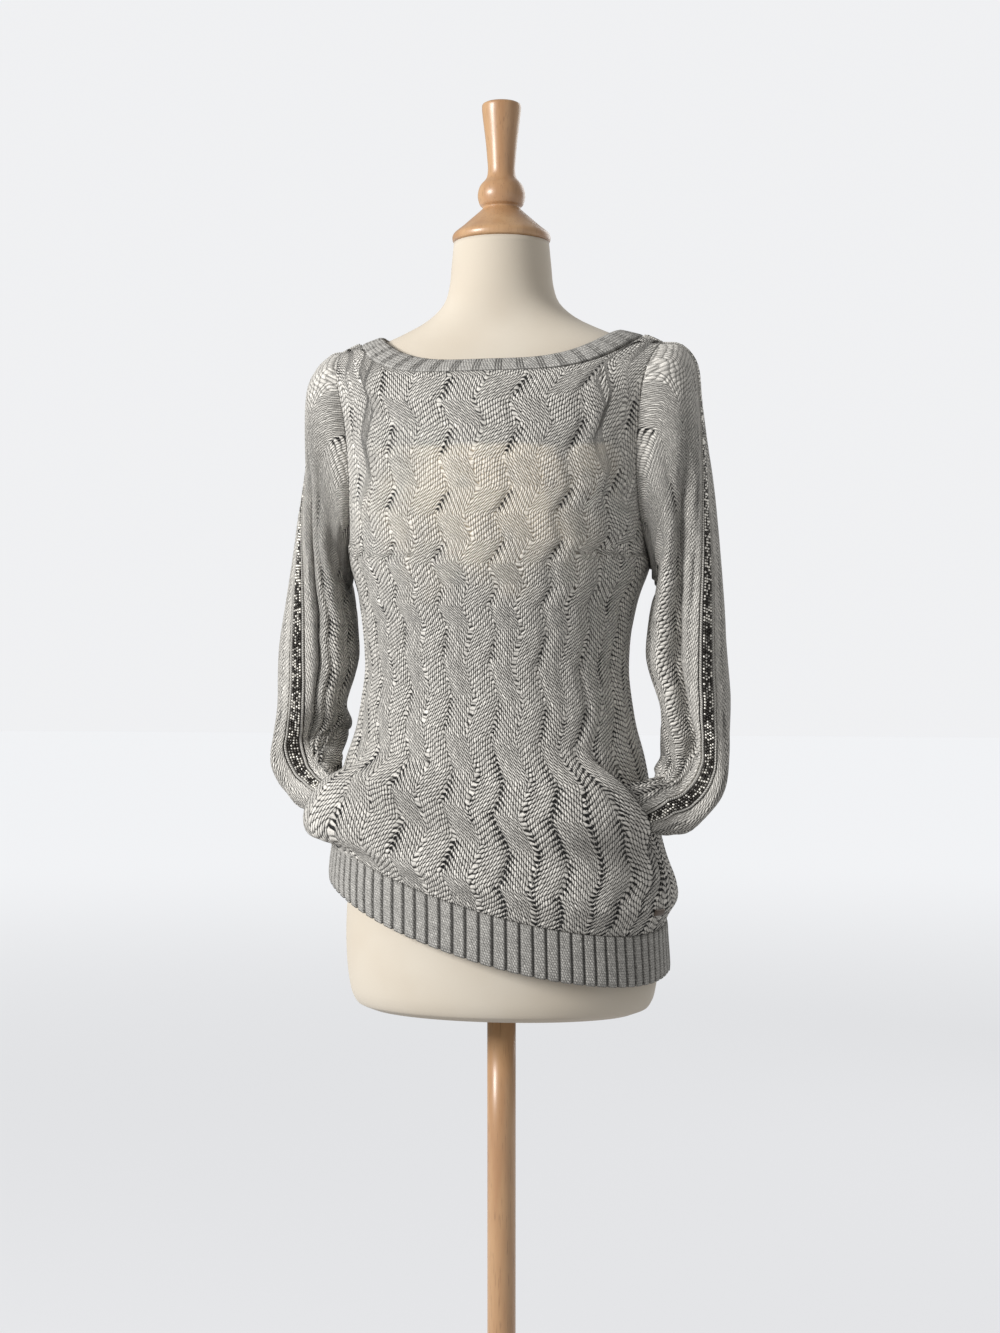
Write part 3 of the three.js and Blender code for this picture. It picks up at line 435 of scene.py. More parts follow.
def piece(name, made, material, stands_for=()):
    """Mesh object from points, faces and uv, smooth up to a face number, riding on the part's
    only body."""
    points, faces, marks, flat_from = made
    mesh = bpy.data.meshes.new(name)
    mesh.from_pydata((points * MM).tolist(), [], faces.tolist())
    for name_of_map, first in (("cloth", 0), ("cable", 2)):
        layer = mesh.uv_layers.new(name=name_of_map)
        layer.data.foreach_set("uv", np.ascontiguousarray(marks[..., first:first + 2], np.float32).ravel())
    mesh.polygons.foreach_set("use_smooth", np.arange(len(faces)) < flat_from)
    mesh.materials.append(material)
    obj = bpy.data.objects.new(name, mesh)
    bpy.context.scene.collection.objects.link(obj)
    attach(obj, "root")
    if stands_for:
        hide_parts(*stands_for)
    return obj


# Front and back


def panel(face, steps=20, per_row=6):
    """Front or back: body points on a grid whose lines swing with the cables, moved along
    their normals by the relief, the lift over a tucked sleeve and a slow unevenness."""
    u = cable_count(0.5, REPEATS, steps)[:, None]
    row = np.linspace(0, ROWS, ROWS * per_row + 1)[None, :]
    start = (u - 0.5) / 4 - 1
    z = panel_height(start, row, face)
    phase = phase_at(row)
    swing = np.interp(row, ALONG_ROWS, SWINGS) * zigzag(phase) * smooth(row / 2)
    held = line_at(start, z, swing) if face == FRONT else start + swing
    s = mix(start, held, 1 - smooth((np.abs(start) - 0.8) / 0.2))
    seam = np.where(row < ROWS_BELOW, SEAM, 0) / 2 / read(BODY, "half", z) * s**15
    points = body_at(s * edge_angle(z) - seam, z, face)
    normals = grid_normals(points) * face
    edge = smooth(row / 1.5) * smooth((ROWS - row) / 1.5)
    edge = edge * smooth(np.minimum(u - 0.5, REPEATS + 0.5 - u) / mix(0.35, 1.7, smooth((row - 19) / 4)))
    share = start * edge_angle(panel_height(0 * row, row, face)) / (math.pi / 2)
    cable = mix(STEADY_CABLE, 0.5 + (share + 1) / 2 * REPEATS, np.interp(row, CLOSE_ROWS, CLOSENESS))
    cable = cable + np.interp(row, CLOSE_ROWS, ASIDE)
    height = cable_relief(cable, phase) * edge + 1.1 * wave(start * 9, row * 0.9, 1 + face) * edge
    if face == FRONT:
        beside = (np.degrees(s * edge_angle(z)) - BAR["around"]) * MM_EACH_DEGREE
        at_bar = np.exp(-(((beside / 16) ** 2 + ((z - BAR["z"]) / 12) ** 2) ** 2))
        height = mix(height, 0.6, at_bar)

    def layer(off, side):
        lift = lifted(s, z, side) if face == FRONT else 0 * z
        return points + normals * (off + lift)[..., None]

    outer, inner = layer(height, 0), layer(-WALL + 0 * height, 0)
    slits = []
    for slit in SLITS if face == FRONT else ():
        column = int(round((slit["at"] + 1) / 2 * REPEATS * steps))
        low, high = slit["low"] * per_row, slit["high"] * per_row
        inside = slice(low + 1, high)
        for grid, off in ((outer, height), (inner, -WALL + 0 * height)):
            grid[column, inside] = layer(off, -slit["side"])[column][inside]
        slits.append({
            "column": column, "low": low, "high": high, "side": slit["side"],
            "outer": layer(height, slit["side"])[column],
            "inner": layer(-WALL + 0 * height, slit["side"])[column],
        })
    middle = panel_height(start, ROWS_BELOW, face)
    rise = 0.5 * (z - middle) + 0.5 * (row - ROWS_BELOW) * ROW_LENGTH
    steps_up = np.diff(points[..., 1:], axis=1)
    longer = (np.linalg.norm(steps_up, axis=-1) - np.abs(steps_up[..., 1])) * (row[:, 1:] > ROWS_BELOW)
    rise[:, 1:] += np.cumsum(longer, 1)
    lean = mix(np.interp(row, ALONG_ROWS, LEANS), 0.4, smooth((np.abs(s) - 0.55) / 0.3))
    low = 1 - smooth((row - 7.5) / 2)
    at_right = smooth(s / 0.2 + 0.5)
    flank = smooth((np.abs(s) - 0.3) / 0.25) * (1 - smooth((row - 17) / 3))
    size = np.interp(row, ALONG_ROWS, COURSES) + 0 * s
    opening = np.interp(row, ALONG_ROWS, OPENINGS)
    dashes = np.maximum(low * at_right, flank * smooth(np.sin(phase * 2 * math.pi + 1 + u) * 2))
    uv = stitch_map(points, cable, rise, size, phase, lean, opening, 1.2 * low * at_right, 1.1 * dashes)
    shoulder = smooth((row - 15) / 5) * smooth((np.abs(start) - 0.74) / 0.12)
    uv[..., 3] = mix(uv[..., 3], -0.25, shoulder)
    return wall(outer, inner, uv, slits=slits)


def hem_rib(face, steps=16, across=10):
    """Half of the hem rib: broad rounded ribs with narrow grooves between, as a power of a
    sine across each rib, on the body's surface."""
    k = np.linspace(0, HEM_RIBS, HEM_RIBS * steps + 1)[:, None]
    j = np.linspace(0, 1, across + 1)[None, :]
    s = -1 + 2 * k / HEM_RIBS
    angle = s * math.pi / 2 - SEAM / 2 / 178 * s**15
    z = hem_height(angle if face == FRONT else math.pi - angle) + j * BAND_HEIGHT
    points = body_at(angle, z, face)
    normals = body_normal(angle, np.maximum(z, 700), face)
    beside = np.abs(k - np.round(k)) * HEM_RIB_WIDTH
    rib = smooth((beside - 0.5) / 1.6) ** 0.7
    rounded = smooth((1 - np.abs(2 * j - 1)) / 0.1)
    off = 1.3 * RIB_RELIEF * rib * mix(0.75, 1, rounded) - 0.7
    off = off + 1.2 * wave(s * 7, j, 4 * face) * (1 - j)
    points[..., 2] -= 0.9 * (rib - 0.6) * (1 - smooth(j / 0.12))
    # Painted shade in the grooves between the ribs, carried by the fourth uv number
    groove = np.exp(-((beside / 1.5) ** 2))
    uv = np.stack(np.broadcast_arrays(k * 5, j * BAND_HEIGHT / 2.6, 0 * k, groove), -1)
    return wall(points + normals * off[..., None], points - normals * WALL, uv)


def neckband(face, steps=36, across=8):
    """Half of the neckband between the panels' top edge and the lip: one wide rib and three
    fine grooves in turn, on a band that is slightly rounded across."""
    columns = REPEATS * 20
    edge_s = np.linspace(-1, 1, columns + 1)
    edge_z = top_height(edge_s, face)
    tops = body_at(edge_s * edge_angle(edge_z), edge_z, face)
    k = np.linspace(0, NECK_RIBS, NECK_RIBS * steps + 1)
    share = np.clip(k / NECK_RIBS, 0.001, 0.999)

    def edge(share):
        x = NECK_OUT["x"] * np.sin((share * 2 - 1) * math.pi / 2)
        p = np.stack([x, np.interp(x, tops[:, 0], tops[:, 1]), np.interp(x, tops[:, 0], tops[:, 2])], -1)
        end = smooth((np.abs(x) - NECK_OUT["x"] + 5) / 5)
        p[:, 1] = mix(p[:, 1], 0, end)
        p[:, 2] = mix(p[:, 2], neck_height(x, face), end)
        return p

    angle = (share * 2 - 1) * math.pi / 2
    rise = NECK_IN["rise"] - (0 if face == FRONT else BACK_RISE * 0.6)
    level = NECK_IN["z"] + NECK_IN["rise"] - rise
    lip = np.stack([
        NECK_IN["x"] * np.sin(angle), -face * NECK_IN[face] * np.cos(angle) ** 0.9,
        level + rise * np.abs(np.sin(angle)) ** NECK_IN["power"],
    ], -1)
    low = edge(share)
    along = edge(np.minimum(share + 0.002, 1)) - edge(np.maximum(share - 0.002, 0))
    up = unit(lip - low)
    high_normal = unit(np.cross(along, up)) * face
    low_angle = np.arcsin(np.clip(low[:, 0] / read(BODY, "half", low[:, 2]), -1, 1))
    low_normal = body_normal(low_angle, low[:, 2], face)
    ends = np.abs(2 * share - 1) ** 40
    for normal in (low_normal, high_normal):
        normal[:, 1] *= 1 - ends
    low = low + up * SEAM * 0.8
    lip[:, 1] -= face * SEAM * 0.5 * ends
    low[:, 1] -= face * SEAM * 0.5 * ends
    j = np.linspace(0, 1, across + 1)[None, :, None]
    points = mix(low[:, None], lip[:, None], j)
    normals = unit(mix(low_normal[:, None], high_normal[:, None], j))
    place = (k % 1)[:, None]
    groove = sum(np.exp(-(((place - at) / 0.035) ** 2)) for at in (0.64, 0.77, 0.9))
    crown = 0.9 * np.sin(j[..., 0] * math.pi) ** 0.6 + 0.3 * np.exp(-((j[..., 0] / 0.13) ** 2))
    relief = RIB_RELIEF * (1 - 0.75 * groove) * smooth((1 - np.abs(2 * j[..., 0] - 1)) / 0.25) * 0.7
    off = (crown + relief) * (1 - ends[:, None])
    # The fourth uv number paints shade in the three fine grooves
    uv = np.stack(np.broadcast_arrays(k[:, None] * 7.5, j[..., 0] * 7, 0 * place, groove * 0.9), -1)
    return wall(points + normals * off[..., None], points - normals * (WALL - 0.4), uv)


# Sleeves


def curve(points, t):
    """Catmull-Rom curve through the points, at shares t of its length in spans."""
    padded = np.concatenate([2 * points[:1] - points[1:2], points, 2 * points[-1:] - points[-2:-1]])
    at = t * (len(points) - 1)
    i = np.clip(np.floor(at).astype(int), 0, len(points) - 2)
    w = (at - i)[..., None]
    p0, p1, p2, p3 = (padded[i + k] for k in range(4))
    v1, v2 = (p2 - p0) / 2, (p3 - p1) / 2
    return p1 + w * v1 + w * w * (3 * (p2 - p1) - 2 * v1 - v2) + w**3 * (2 * (p1 - p2) + v1 + v2)


def sleeve_rings(hand):
    """Middles and the two vectors of each ring: given as they are for the upper sleeve, and
    from the body's surface for the forearm, which lies along it."""
    side, left = hand["side"], hand["left"]
    r = UPPER_SLEEVE
    more = left * r["left"] * 0.5
    i = np.arange(len(r["x"]))
    none = 0 * r["x"]
    upper = {
        "middle": np.stack([side * (r["x"] + more), -6 * smooth(i / 9), r["z"]], -1),
        "out": np.stack([side * (r["out_x"] + more), none, r["out_z"]], -1),
        "front": np.stack([none, -r["front"], none], -1),
        "back": r["back"], "turn": r["turn_left" if left else "turn"],
    }
    r = FOREARM
    angle = side * np.radians(r["around"] + hand["around"])
    z = r["z"] + left * r["rise"]
    facing = body_normal(angle, z, FRONT)
    facing[:, 2] = 0
    facing = unit(facing)
    lean = np.radians(r["lean"])[:, None]
    tall = mix(r["tall"] * hand["shrink"], r["tall"], np.sin(lean[:, 0]))[:, None]
    thick = r["thick"][:, None]
    aside = np.stack([-facing[:, 1], facing[:, 0], 0 * z], -1) * side * r["skew"][:, None]
    forward = unit(np.array([side * 0.1, -1.0, 0.0]))
    lower = {
        "middle": body_at(angle, z, FRONT) + facing * (r["off"] - left * r["near"])[:, None],
        "out": aside + tall * (facing * np.sin(lean) - np.array([0, 0, 1.0]) * np.cos(lean)),
        "front": thick * (facing * np.cos(lean) + forward * np.sin(lean)),
        "back": np.ones(len(z)), "turn": r["turn_left" if left else "turn"],
    }
    return {key: np.concatenate([upper[key], lower[key]]) for key in upper}


class SleeveShape:
    """A sleeve as a function of its length share t and the angle round it."""

    def __init__(self, hand):
        self.side = hand["side"]
        self.rings = sleeve_rings(hand)
        self.spans = len(self.rings["turn"]) - 1
        self.cuff_from = (self.spans - CUFF_RINGS) / self.spans

    def number(self, key, t):
        """Straight reading of a ring's number."""
        return np.interp(t * self.spans, np.arange(self.spans + 1), self.rings[key])

    def ring_point(self, t, angle):
        """Middle plus cosine times the outward vector plus sine times the front vector."""
        t, angle = np.broadcast_arrays(t, angle)
        c, s = np.cos(angle), np.sin(angle)
        depth = np.where(s < 0, self.number("back", t), 1) * s
        r = self.rings
        outward = curve(r["out"], t) * c[..., None]
        return curve(r["middle"], t) + outward + curve(r["front"], t) * depth[..., None]

    def turn(self, t):
        return np.radians(self.number("turn", t))

    def trim_angle(self, t):
        return (TRIM_HALF + TRIM_SEAM) / np.linalg.norm(curve(self.rings["out"], t), axis=-1)

    def middle(self, t):
        return (self.ring_point(t, 0 * t) + self.ring_point(t, 0 * t + math.pi)) / 2

    def armhole(self, share):
        """Armhole outline: front edge from the trim down to the underarm, back edge up."""
        down = 1 - np.abs(share * 2 - 1)
        both = []
        for face in (FRONT, BACK):
            z = mix(top_height(np.array(float(self.side)), face), UNDERARM, down)
            both.append(body_at(self.side * edge_angle(z), z, face))
        p = np.where((share < 0.5)[..., None], both[0], both[1])
        p[..., 0] += self.side * ARMHOLE_SEAM
        p[..., 1] *= 1 - smooth((down - 0.97) / 0.03)
        return p

    def at(self, t, share):
        """Ring point from the trim round to the trim, drawn to the armhole near the top."""
        t, share = np.broadcast_arrays(t, share)
        angles = []
        for at in (t, 0 * t):
            start = self.turn(at) * (at is t) + self.trim_angle(at)
            end = self.turn(at) * (at is t) + 2 * math.pi - self.trim_angle(at)
            before, after = mix(start, math.pi, share * 2), mix(math.pi, end, share * 2 - 1)
            angles.append(np.where(share < 0.5, before, after))
        stay = (1 - smooth(t / JOIN_SHARE))[..., None]
        move = self.armhole(share) - self.ring_point(0 * t, angles[1])
        return self.ring_point(t, angles[0]) + move * stay

    def trim(self, t, across):
        """Point of the trim: ring point beside its turn, drawn to the shoulder at the top."""
        t, across = np.broadcast_arrays(t, across)
        angle = self.turn(t) + across * TRIM_HALF / (TRIM_HALF + TRIM_SEAM) * self.trim_angle(t)
        none = 0 * t
        front = self.armhole(none) - self.ring_point(none, self.trim_angle(none))
        back = self.armhole(none + 1) - self.ring_point(none, -self.trim_angle(none))
        stay = (1 - smooth(t / JOIN_SHARE))[..., None]
        return self.ring_point(t, angle) + mix(front, back, ((1 - across) / 2)[..., None]) * stay


def away_from(points, normals, middles):
    """Normals turned to face away from the middles."""
    return normals * np.sign(np.sum(normals * (points - middles), -1, keepdims=True))


def sleeve_folds(t, share, hand):
    """Folds of the hanging sleeve: a long crease beside the trim down to the elbow with a
    rounded ridge before it, and short ones across where it bends into the pocket."""
    side = hand["side"]
    reach = smooth((t - 0.16) / 0.14) * (1 - smooth((t - 0.6) / 0.1))
    deep, at, wide = (20, 0.15, 0.075) if side > 0 else (11, 0.12, 0.028)
    crease = -deep * reach * np.exp(-(((share - at) / wide) ** 2))
    ridge = 4 * reach * np.exp(-(((share - 0.26) / 0.05) ** 2))
    elbow = np.exp(-(((t - 0.7) / 0.06) ** 2))
    across = 2.2 * elbow * np.sin(t * 95 + share * 9 + side) * smooth(np.sin(share * math.pi))
    slow = 1.4 * wave(share * 12, t * 16, 3 + side) * smooth(t / 0.25)
    return ridge + crease + across + slow


def sleeve(hand, shape, steps=16, rings=176):
    """Sleeve from the armhole to the pocket: its shape moved along the normals by folds,
    and its outside by cables too."""
    u = cable_count(0, SLEEVE_REPEATS, steps)[:, None]
    share = u / SLEEVE_REPEATS
    t = np.linspace(0, shape.cuff_from - CUFF_SEAM, rings + 1)[None, :]
    middles = shape.middle(t[0])
    length = np.concatenate([[0], np.cumsum(np.linalg.norm(np.diff(middles, axis=0), axis=-1))])[None]
    phase = 0.3 - length / SLEEVE_PERIOD
    points = shape.at(t, share + 0.02 * zigzag(phase) * np.sin(share * math.pi))
    normals = away_from(points, grid_normals(points), middles[None])
    ends = smooth(t / 0.08) * smooth((shape.cuff_from - t) / 0.1)
    sides = smooth(np.minimum(share, 1 - share) / 0.02)
    points = points + normals * (sleeve_folds(t, share, hand) * ends * sides)[..., None]
    normals = away_from(points, grid_normals(points), middles[None])
    relief = cable_relief(u, phase) * ends * sides
    opening = np.where((u > 0.5) & (u < SLEEVE_REPEATS - 0.5), 0.75, 0)
    level = 1 - smooth((t - 0.46) / 0.1)
    rise = (points[..., 2] - middles[None, :, 2]) * level - length
    uv = stitch_map(points, u + 0 * t, rise, SLEEVE_COURSE + 0 * u * t, phase, 0.8, opening)
    uv[..., 1] += rise[:, :1] / SLEEVE_COURSE
    round_once = np.linalg.norm(np.gradient(points, share[:, 0], axis=0), axis=-1)
    beside = np.minimum(share, 1 - share) * round_once
    band = 1 - smooth((beside - PLAIN_BAND) / 1.5)
    # A line of painted shade in the groove along the plain band's outer edge
    line = np.exp(-(((beside - BAND_LINE) / 0.9) ** 2))
    cap = 1 - smooth((t - 0.05) / 0.15)
    uv[..., 3] = mix(mix(uv[..., 3], -0.5, cap), -0.75, band) + 0.9 * line
    uv[..., 2] *= 1 - band
    relief = relief * (1 - band) + (0.5 * band - 1.2 * line) * ends
    return wall(points + normals * relief[..., None], points - normals * WALL, uv)


def cuff(shape, columns=48, rings=16):
    """Sleeve end inside the pocket: plain ring points with a fine rib."""
    t = np.linspace(shape.cuff_from + CUFF_SEAM, 1, rings + 1)[None, :]
    turn = (shape.turn(t[:, -1:]) + shape.trim_angle(t[:, -1:]))
    share = np.linspace(0, 1, columns + 1)[:, None]
    points = shape.ring_point(t, share * 2 * math.pi + turn)
    outward = unit(points - shape.middle(t[0])[None])
    off = 0.3 * np.cos(share * 2 * math.pi * 24)
    # The fourth uv number darkens the whole cuff evenly: painted shade
    uv = np.stack(np.broadcast_arrays(share * 90, t * 200, 0 * t, 0.3 + 0 * t), -1)
    return wall(points + outward * off[..., None], points - outward * WALL, uv, ring=True)


# Bead trim


def depth_at(x, z):
    """Half the body's depth at a distance from the middle."""
    share = 1 - (x / read(BODY, "half", z)) ** 2
    return read(BODY, "front", z) * np.sqrt(np.maximum(0, share))


def trim_surface(hand, shape, across, along=260, shoulder=24):
    """Trim from the neckband over the shoulder and down the sleeve, as a grid of points and
    normals: across from -1 at its back edge to 1 at its front edge."""
    side = hand["side"]
    start = shape.armhole(np.array(0.0))[0] * side - 1
    x = np.linspace(NECK_OUT["x"] + 1.2, start, shoulder + 1)[:-1]
    low, high = np.full((len(across), len(x)), 1340.0), np.full((len(across), len(x)), 1391.0)
    reach = TRIM_HALF * np.maximum(np.abs(across), 0.15)[:, None]
    for _ in range(40):
        z = (low + high) / 2
        over = reach - depth_at(x[None], z) > 0
        high, low = np.where(over, z, high), np.where(over, low, z)
    top = np.stack(np.broadcast_arrays(side * x[None], -across[:, None] * TRIM_HALF, z), -1)
    t = np.linspace(0, shape.cuff_from - CUFF_SEAM, along + 1)[None, :]
    down = shape.trim(t, across[:, None])
    points = np.concatenate([top, down], 1)
    under_top = top * [1, 0, 1] - [0, 0, 60]
    middles = np.concatenate([under_top, np.broadcast_to(shape.middle(t[0]), down.shape)], 1)
    return points, away_from(points, grid_normals(points), middles)


def trim_tape(hand, shape):
    """Woven tape of the trim: a flat bed for the beads between two raised cords."""
    across = np.linspace(-1, 1, 33)
    points, normals = trim_surface(hand, shape, across)
    away = np.abs(across)[:, None]
    cord = 1.5 * np.sqrt(np.maximum(0, 1 - ((away - 0.85) / 0.15) ** 2))
    off = np.where(away > 0.7, cord, -0.2) + 0 * points[..., 0]
    length = np.concatenate([[0], np.cumsum(np.linalg.norm(np.diff(points[16], axis=0), axis=-1))])
    uv = np.stack(np.broadcast_arrays(across[:, None], length[None] * MM, 0, 0), -1)
    return wall(points + normals * off[..., None], points - normals * WALL, uv)


def beads(hand, shape):
    """Rows of small beads on the tape: one squashed ball at even steps of its length, each
    second row moved on by half a step, and the rows side by side."""
    across = np.linspace(-1, 1, 33)
    points, normals = trim_surface(hand, shape, across)
    length = np.concatenate([[0], np.cumsum(np.linalg.norm(np.diff(points[16], axis=0), axis=-1))])
    rings, sides = 5, 7
    polar = (np.arange(rings) + 0.5) / rings * math.pi
    round_ = np.arange(sides) / sides * 2 * math.pi
    ball = np.stack(np.broadcast_arrays(
        np.cos(round_)[None] * np.sin(polar)[:, None], np.sin(round_)[None] * np.sin(polar)[:, None],
        np.cos(polar)[:, None]), -1).reshape(-1, 3)
    ball = np.concatenate([ball, [[0, 0, 1.0], [0, 0, -1.0]]])
    i = np.arange(sides)
    after = (i + 1) % sides
    quads = [np.stack([r * sides + i, (r + 1) * sides + i, (r + 1) * sides + after, r * sides + after], 1)
             for r in range(rings - 1)]
    last = (rings - 1) * sides
    caps = [np.stack([i, after, i * 0 + rings * sides, i * 0 + rings * sides], 1),
            np.stack([last + after, last + i, i * 0 + rings * sides + 1, i * 0 + rings * sides + 1], 1)]
    all_points, all_faces, all_marks = [], [], []
    chance = np.random.default_rng(7 + hand["side"])
    count = 0
    for row, place in enumerate(BEAD_ROWS):
        stops = np.arange(BEAD_PITCH * (0.8 + 0.5 * (row % 2)), length[-1] - BEAD_PITCH, BEAD_PITCH)
        k = (place + 1) * 16
        low, share = int(k), k - int(k)
        line = mix(points[low], points[low + 1], share)
        facing = unit(mix(normals[low], normals[low + 1], share))
        centre = np.stack([np.interp(stops, length, line[:, c]) for c in range(3)], -1)
        up = unit(np.stack([np.interp(stops, length, facing[:, c]) for c in range(3)], -1))
        ahead = unit(np.stack([np.interp(stops + 1, length, line[:, c]) for c in range(3)], -1) - centre)
        aside = unit(np.cross(up, ahead))
        size = BEAD_RADIUS + 0.12 * chance.standard_normal((len(stops), 1, 1)).clip(-1, 1)
        centre = centre + up * 0.7
        body = (ball[None, :, :1] * ahead[:, None] + ball[None, :, 1:2] * aside[:, None] * 0.92
                + ball[None, :, 2:] * up[:, None] * 0.85)
        all_points.append((centre[:, None] + body * size).reshape(-1, 3))
        one = np.concatenate(quads + caps)
        firsts = count + np.arange(len(stops))[:, None, None] * len(ball)
        all_faces.append((one[None] + firsts).reshape(-1, 4))
        tone = chance.random((len(stops), 1, 1, 1))
        all_marks.append(np.broadcast_to(tone, (len(stops), len(one), 4, 4)).reshape(-1, 4, 4))
        count += len(stops) * len(ball)
    return np.concatenate(all_points), np.concatenate(all_faces), np.concatenate(all_marks), count * 99


# Pockets and bar


def pocket(slit, columns=40, rows=30):
    """Pocket underlay: body points close behind the front, from just outside the slit
    towards the middle."""
    low, high = slit_span(slit)
    i = np.linspace(0, 1, columns + 1)[:, None]
    j = np.linspace(0, 1, rows + 1)[None, :]
    z = mix(low + 2, high + 12, j) + 0 * i
    s = mix(slit["bottom"], slit["top"], j) + slit["side"] * mix(0.1, -0.52, i)
    angle = s * math.pi / 2
    points, normals = body_at(angle, z, FRONT), body_normal(angle, z, FRONT)
    uv = np.stack(np.broadcast_arrays(s * 90, z / 4.5, 0, 0), -1)
    return wall(points - normals * slit["under"], points - normals * (slit["under"] + 1.5), uv)


def bar(columns=28, rows=12):
    """Blank metal bar bent to the cloth: a plate whose edges roll over as a fourth power."""
    i = np.linspace(-1, 1, columns + 1)[:, None]
    j = np.linspace(-1, 1, rows + 1)[None, :]
    angle = math.radians(BAR["around"]) + i / 2 * BAR["width"] / 150 + 0 * j
    z = BAR["z"] + j / 2 * BAR["height"] + 0 * i
    points = body_at(angle, z, FRONT)
    normals = body_normal(angle, BAR["z"] + 0 * z, FRONT)
    base = RELIEF + BAR["off"]
    roll = np.sqrt(np.maximum(0, 1 - i**10)) * np.sqrt(np.maximum(0, 1 - j**6))
    outer = points + normals * (base + 0.3 + BAR["thick"] * roll)[..., None]
    uv = np.stack(np.broadcast_arrays(i, j, 0, 0), -1)
    return wall(outer, points + normals * base, uv)


# Dress form and turned wood


def closed_rings(rings):
    """Closed solid through rings of points, with a fan of thin quads at each end."""
    count, sides = rings.shape[:2]
    ends = np.stack([rings[0].mean(0), rings[-1].mean(0)])
    points = np.concatenate([rings.reshape(-1, 3), ends])
    ids = np.arange(count * sides).reshape(count, sides)
    after = np.roll(ids, -1, 1)
    faces = np.stack([ids[:-1], after[:-1], after[1:], ids[1:]], -1).reshape(-1, 4)
    u = np.arange(sides) / sides
    step = 1 / sides
    height = rings[:, :, 2] * MM
    marks = np.stack([
        np.stack(np.broadcast_arrays(u + a * step, np.roll(height, -a, 1)[b:count - 1 + b]), -1)
        for a, b in ((0, 0), (1, 0), (1, 1), (0, 1))], 2).reshape(-1, 4, 2)
    return points, faces, marks, ids, after


def solid(name, rings, material, stands_for):
    """Piece from closed rings, with triangles at both ends."""
    points, faces, marks, ids, after = closed_rings(rings)
    last = len(points)
    low = [(last - 2, b, a) for a, b in zip(ids[0], after[0])]
    high = [(last - 1, a, b) for a, b in zip(ids[-1], after[-1])]
    mesh = bpy.data.meshes.new(name)
    mesh.from_pydata((points * MM).tolist(), [], faces.tolist() + low + high)
    layer = mesh.uv_layers.new(name="cloth")
    ends = np.zeros(((len(low) + len(high)) * 3, 2))
    layer.data.foreach_set("uv", np.concatenate([marks.reshape(-1, 2), ends]).astype(np.float32).ravel())
    smooth_faces = np.ones(len(mesh.polygons), bool)
    smooth_faces[len(faces):] = False
    mesh.polygons.foreach_set("use_smooth", smooth_faces)
    mesh.materials.append(material)
    obj = bpy.data.objects.new(name, mesh)
    bpy.context.scene.collection.objects.link(obj)
    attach(obj, "root")
    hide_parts(stands_for)
    return obj


def form_rings(levels=150, sides=96):
    """Dress form: an ellipse at each height with its own half width, front and back depth."""
    z = np.concatenate([np.linspace(690, 700, 12)[:-1], np.linspace(700, 1493, levels)])
    angle = np.arange(sides) / sides * 2 * math.pi
    half = read(FORM, "half", z)[:, None]
    depth = np.where(np.cos(angle) > 0, read(FORM, "front", z)[:, None], read(FORM, "back", z)[:, None])
    return np.stack(np.broadcast_arrays(half * np.sin(angle), -depth * np.cos(angle), z[:, None]), -1)


def turned_rings(profile, sides=72, finer=5):
    """Turned solid: a profile of radius and height, smoothed as a Catmull-Rom curve, carried
    round +Z."""
    profile = np.array([p for p in profile if p[0] > 0], float)
    t = np.linspace(0, 1, (len(profile) - 1) * finer + 1)
    radius, z = curve(profile, t).T
    angle = np.arange(sides) / sides * 2 * math.pi
    return np.stack(np.broadcast_arrays(
        radius[:, None] * np.cos(angle), radius[:, None] * np.sin(angle), z[:, None]), -1)


# Materials


class Nodes:
    """Short names for adding nodes to a tree. Each call gives the new node's first output."""

    def __init__(self, tree):
        self.tree = tree

    def give(self, node, **inputs):
        """Set or link a node's inputs, named with _ for a space or numbered after a first _."""
        for key, value in inputs.items():
            socket = node.inputs[int(key[1:])] if key[0] == "_" else node.inputs[key.replace("_", " ")]
            if hasattr(value, "links"):
                self.tree.links.new(value, socket)
            else:
                socket.default_value = value
        return node

    def put(self, kind, outputs=0, settings=None, **inputs):
        node = self.tree.nodes.new("ShaderNode" + kind)
        for key, value in (settings or {}).items():
            setattr(node, key, value)
        return self.give(node, **inputs).outputs[outputs]

    def parts(self, vector):
        """Outputs with the x, y and z of a vector."""
        return self.give(self.tree.nodes.new("ShaderNodeSeparateXYZ"), _0=vector).outputs

    def from_edges(self, fraction):
        """How far a fraction lies from one half, doubled."""
        return self.do("MULTIPLY", self.do("ABSOLUTE", self.do("SUBTRACT", fraction, 0.5)), 2.0)

    def grey(self, value):
        return self.put("CombineColor", _0=value, _1=value, _2=value)

    def do(self, operation, *values, hold=False):
        return self.put("Math", settings={"operation": operation, "use_clamp": hold},
                        **{f"_{k}": v for k, v in enumerate(values)})

    def ramp(self, value, low, high):
        """0 at low, 1 at high, smooth between."""
        return self.put("MapRange", settings={"interpolation_type": "SMOOTHSTEP"},
                        Value=value, From_Min=low, From_Max=high)

    def blend(self, share, a, b, how="MIX"):
        node = self.tree.nodes.new("ShaderNodeMix")
        node.data_type, node.blend_type = "RGBA", how
        return self.give(node, _0=share, _6=a, _7=b).outputs[2]

    def noise(self, vector, scale, detail=2.0, rough=0.5):
        return self.put("TexNoise", Vector=vector, Scale=scale, Detail=detail, Roughness=rough)


def new_group(name, inputs, outputs):
    """Empty shader node group with named sockets, and its nodes to build on."""
    tree = bpy.data.node_groups.new(name, "ShaderNodeTree")
    for label, kind, value in inputs:
        socket = tree.interface.new_socket(label, in_out="INPUT", socket_type="NodeSocket" + kind)
        if value is not None:
            socket.default_value = value
    for label, kind in outputs:
        tree.interface.new_socket(label, in_out="OUTPUT", socket_type="NodeSocket" + kind)
    given = tree.nodes.new("NodeGroupInput").outputs
    return tree, Nodes(tree), given, tree.nodes.new("NodeGroupOutput")


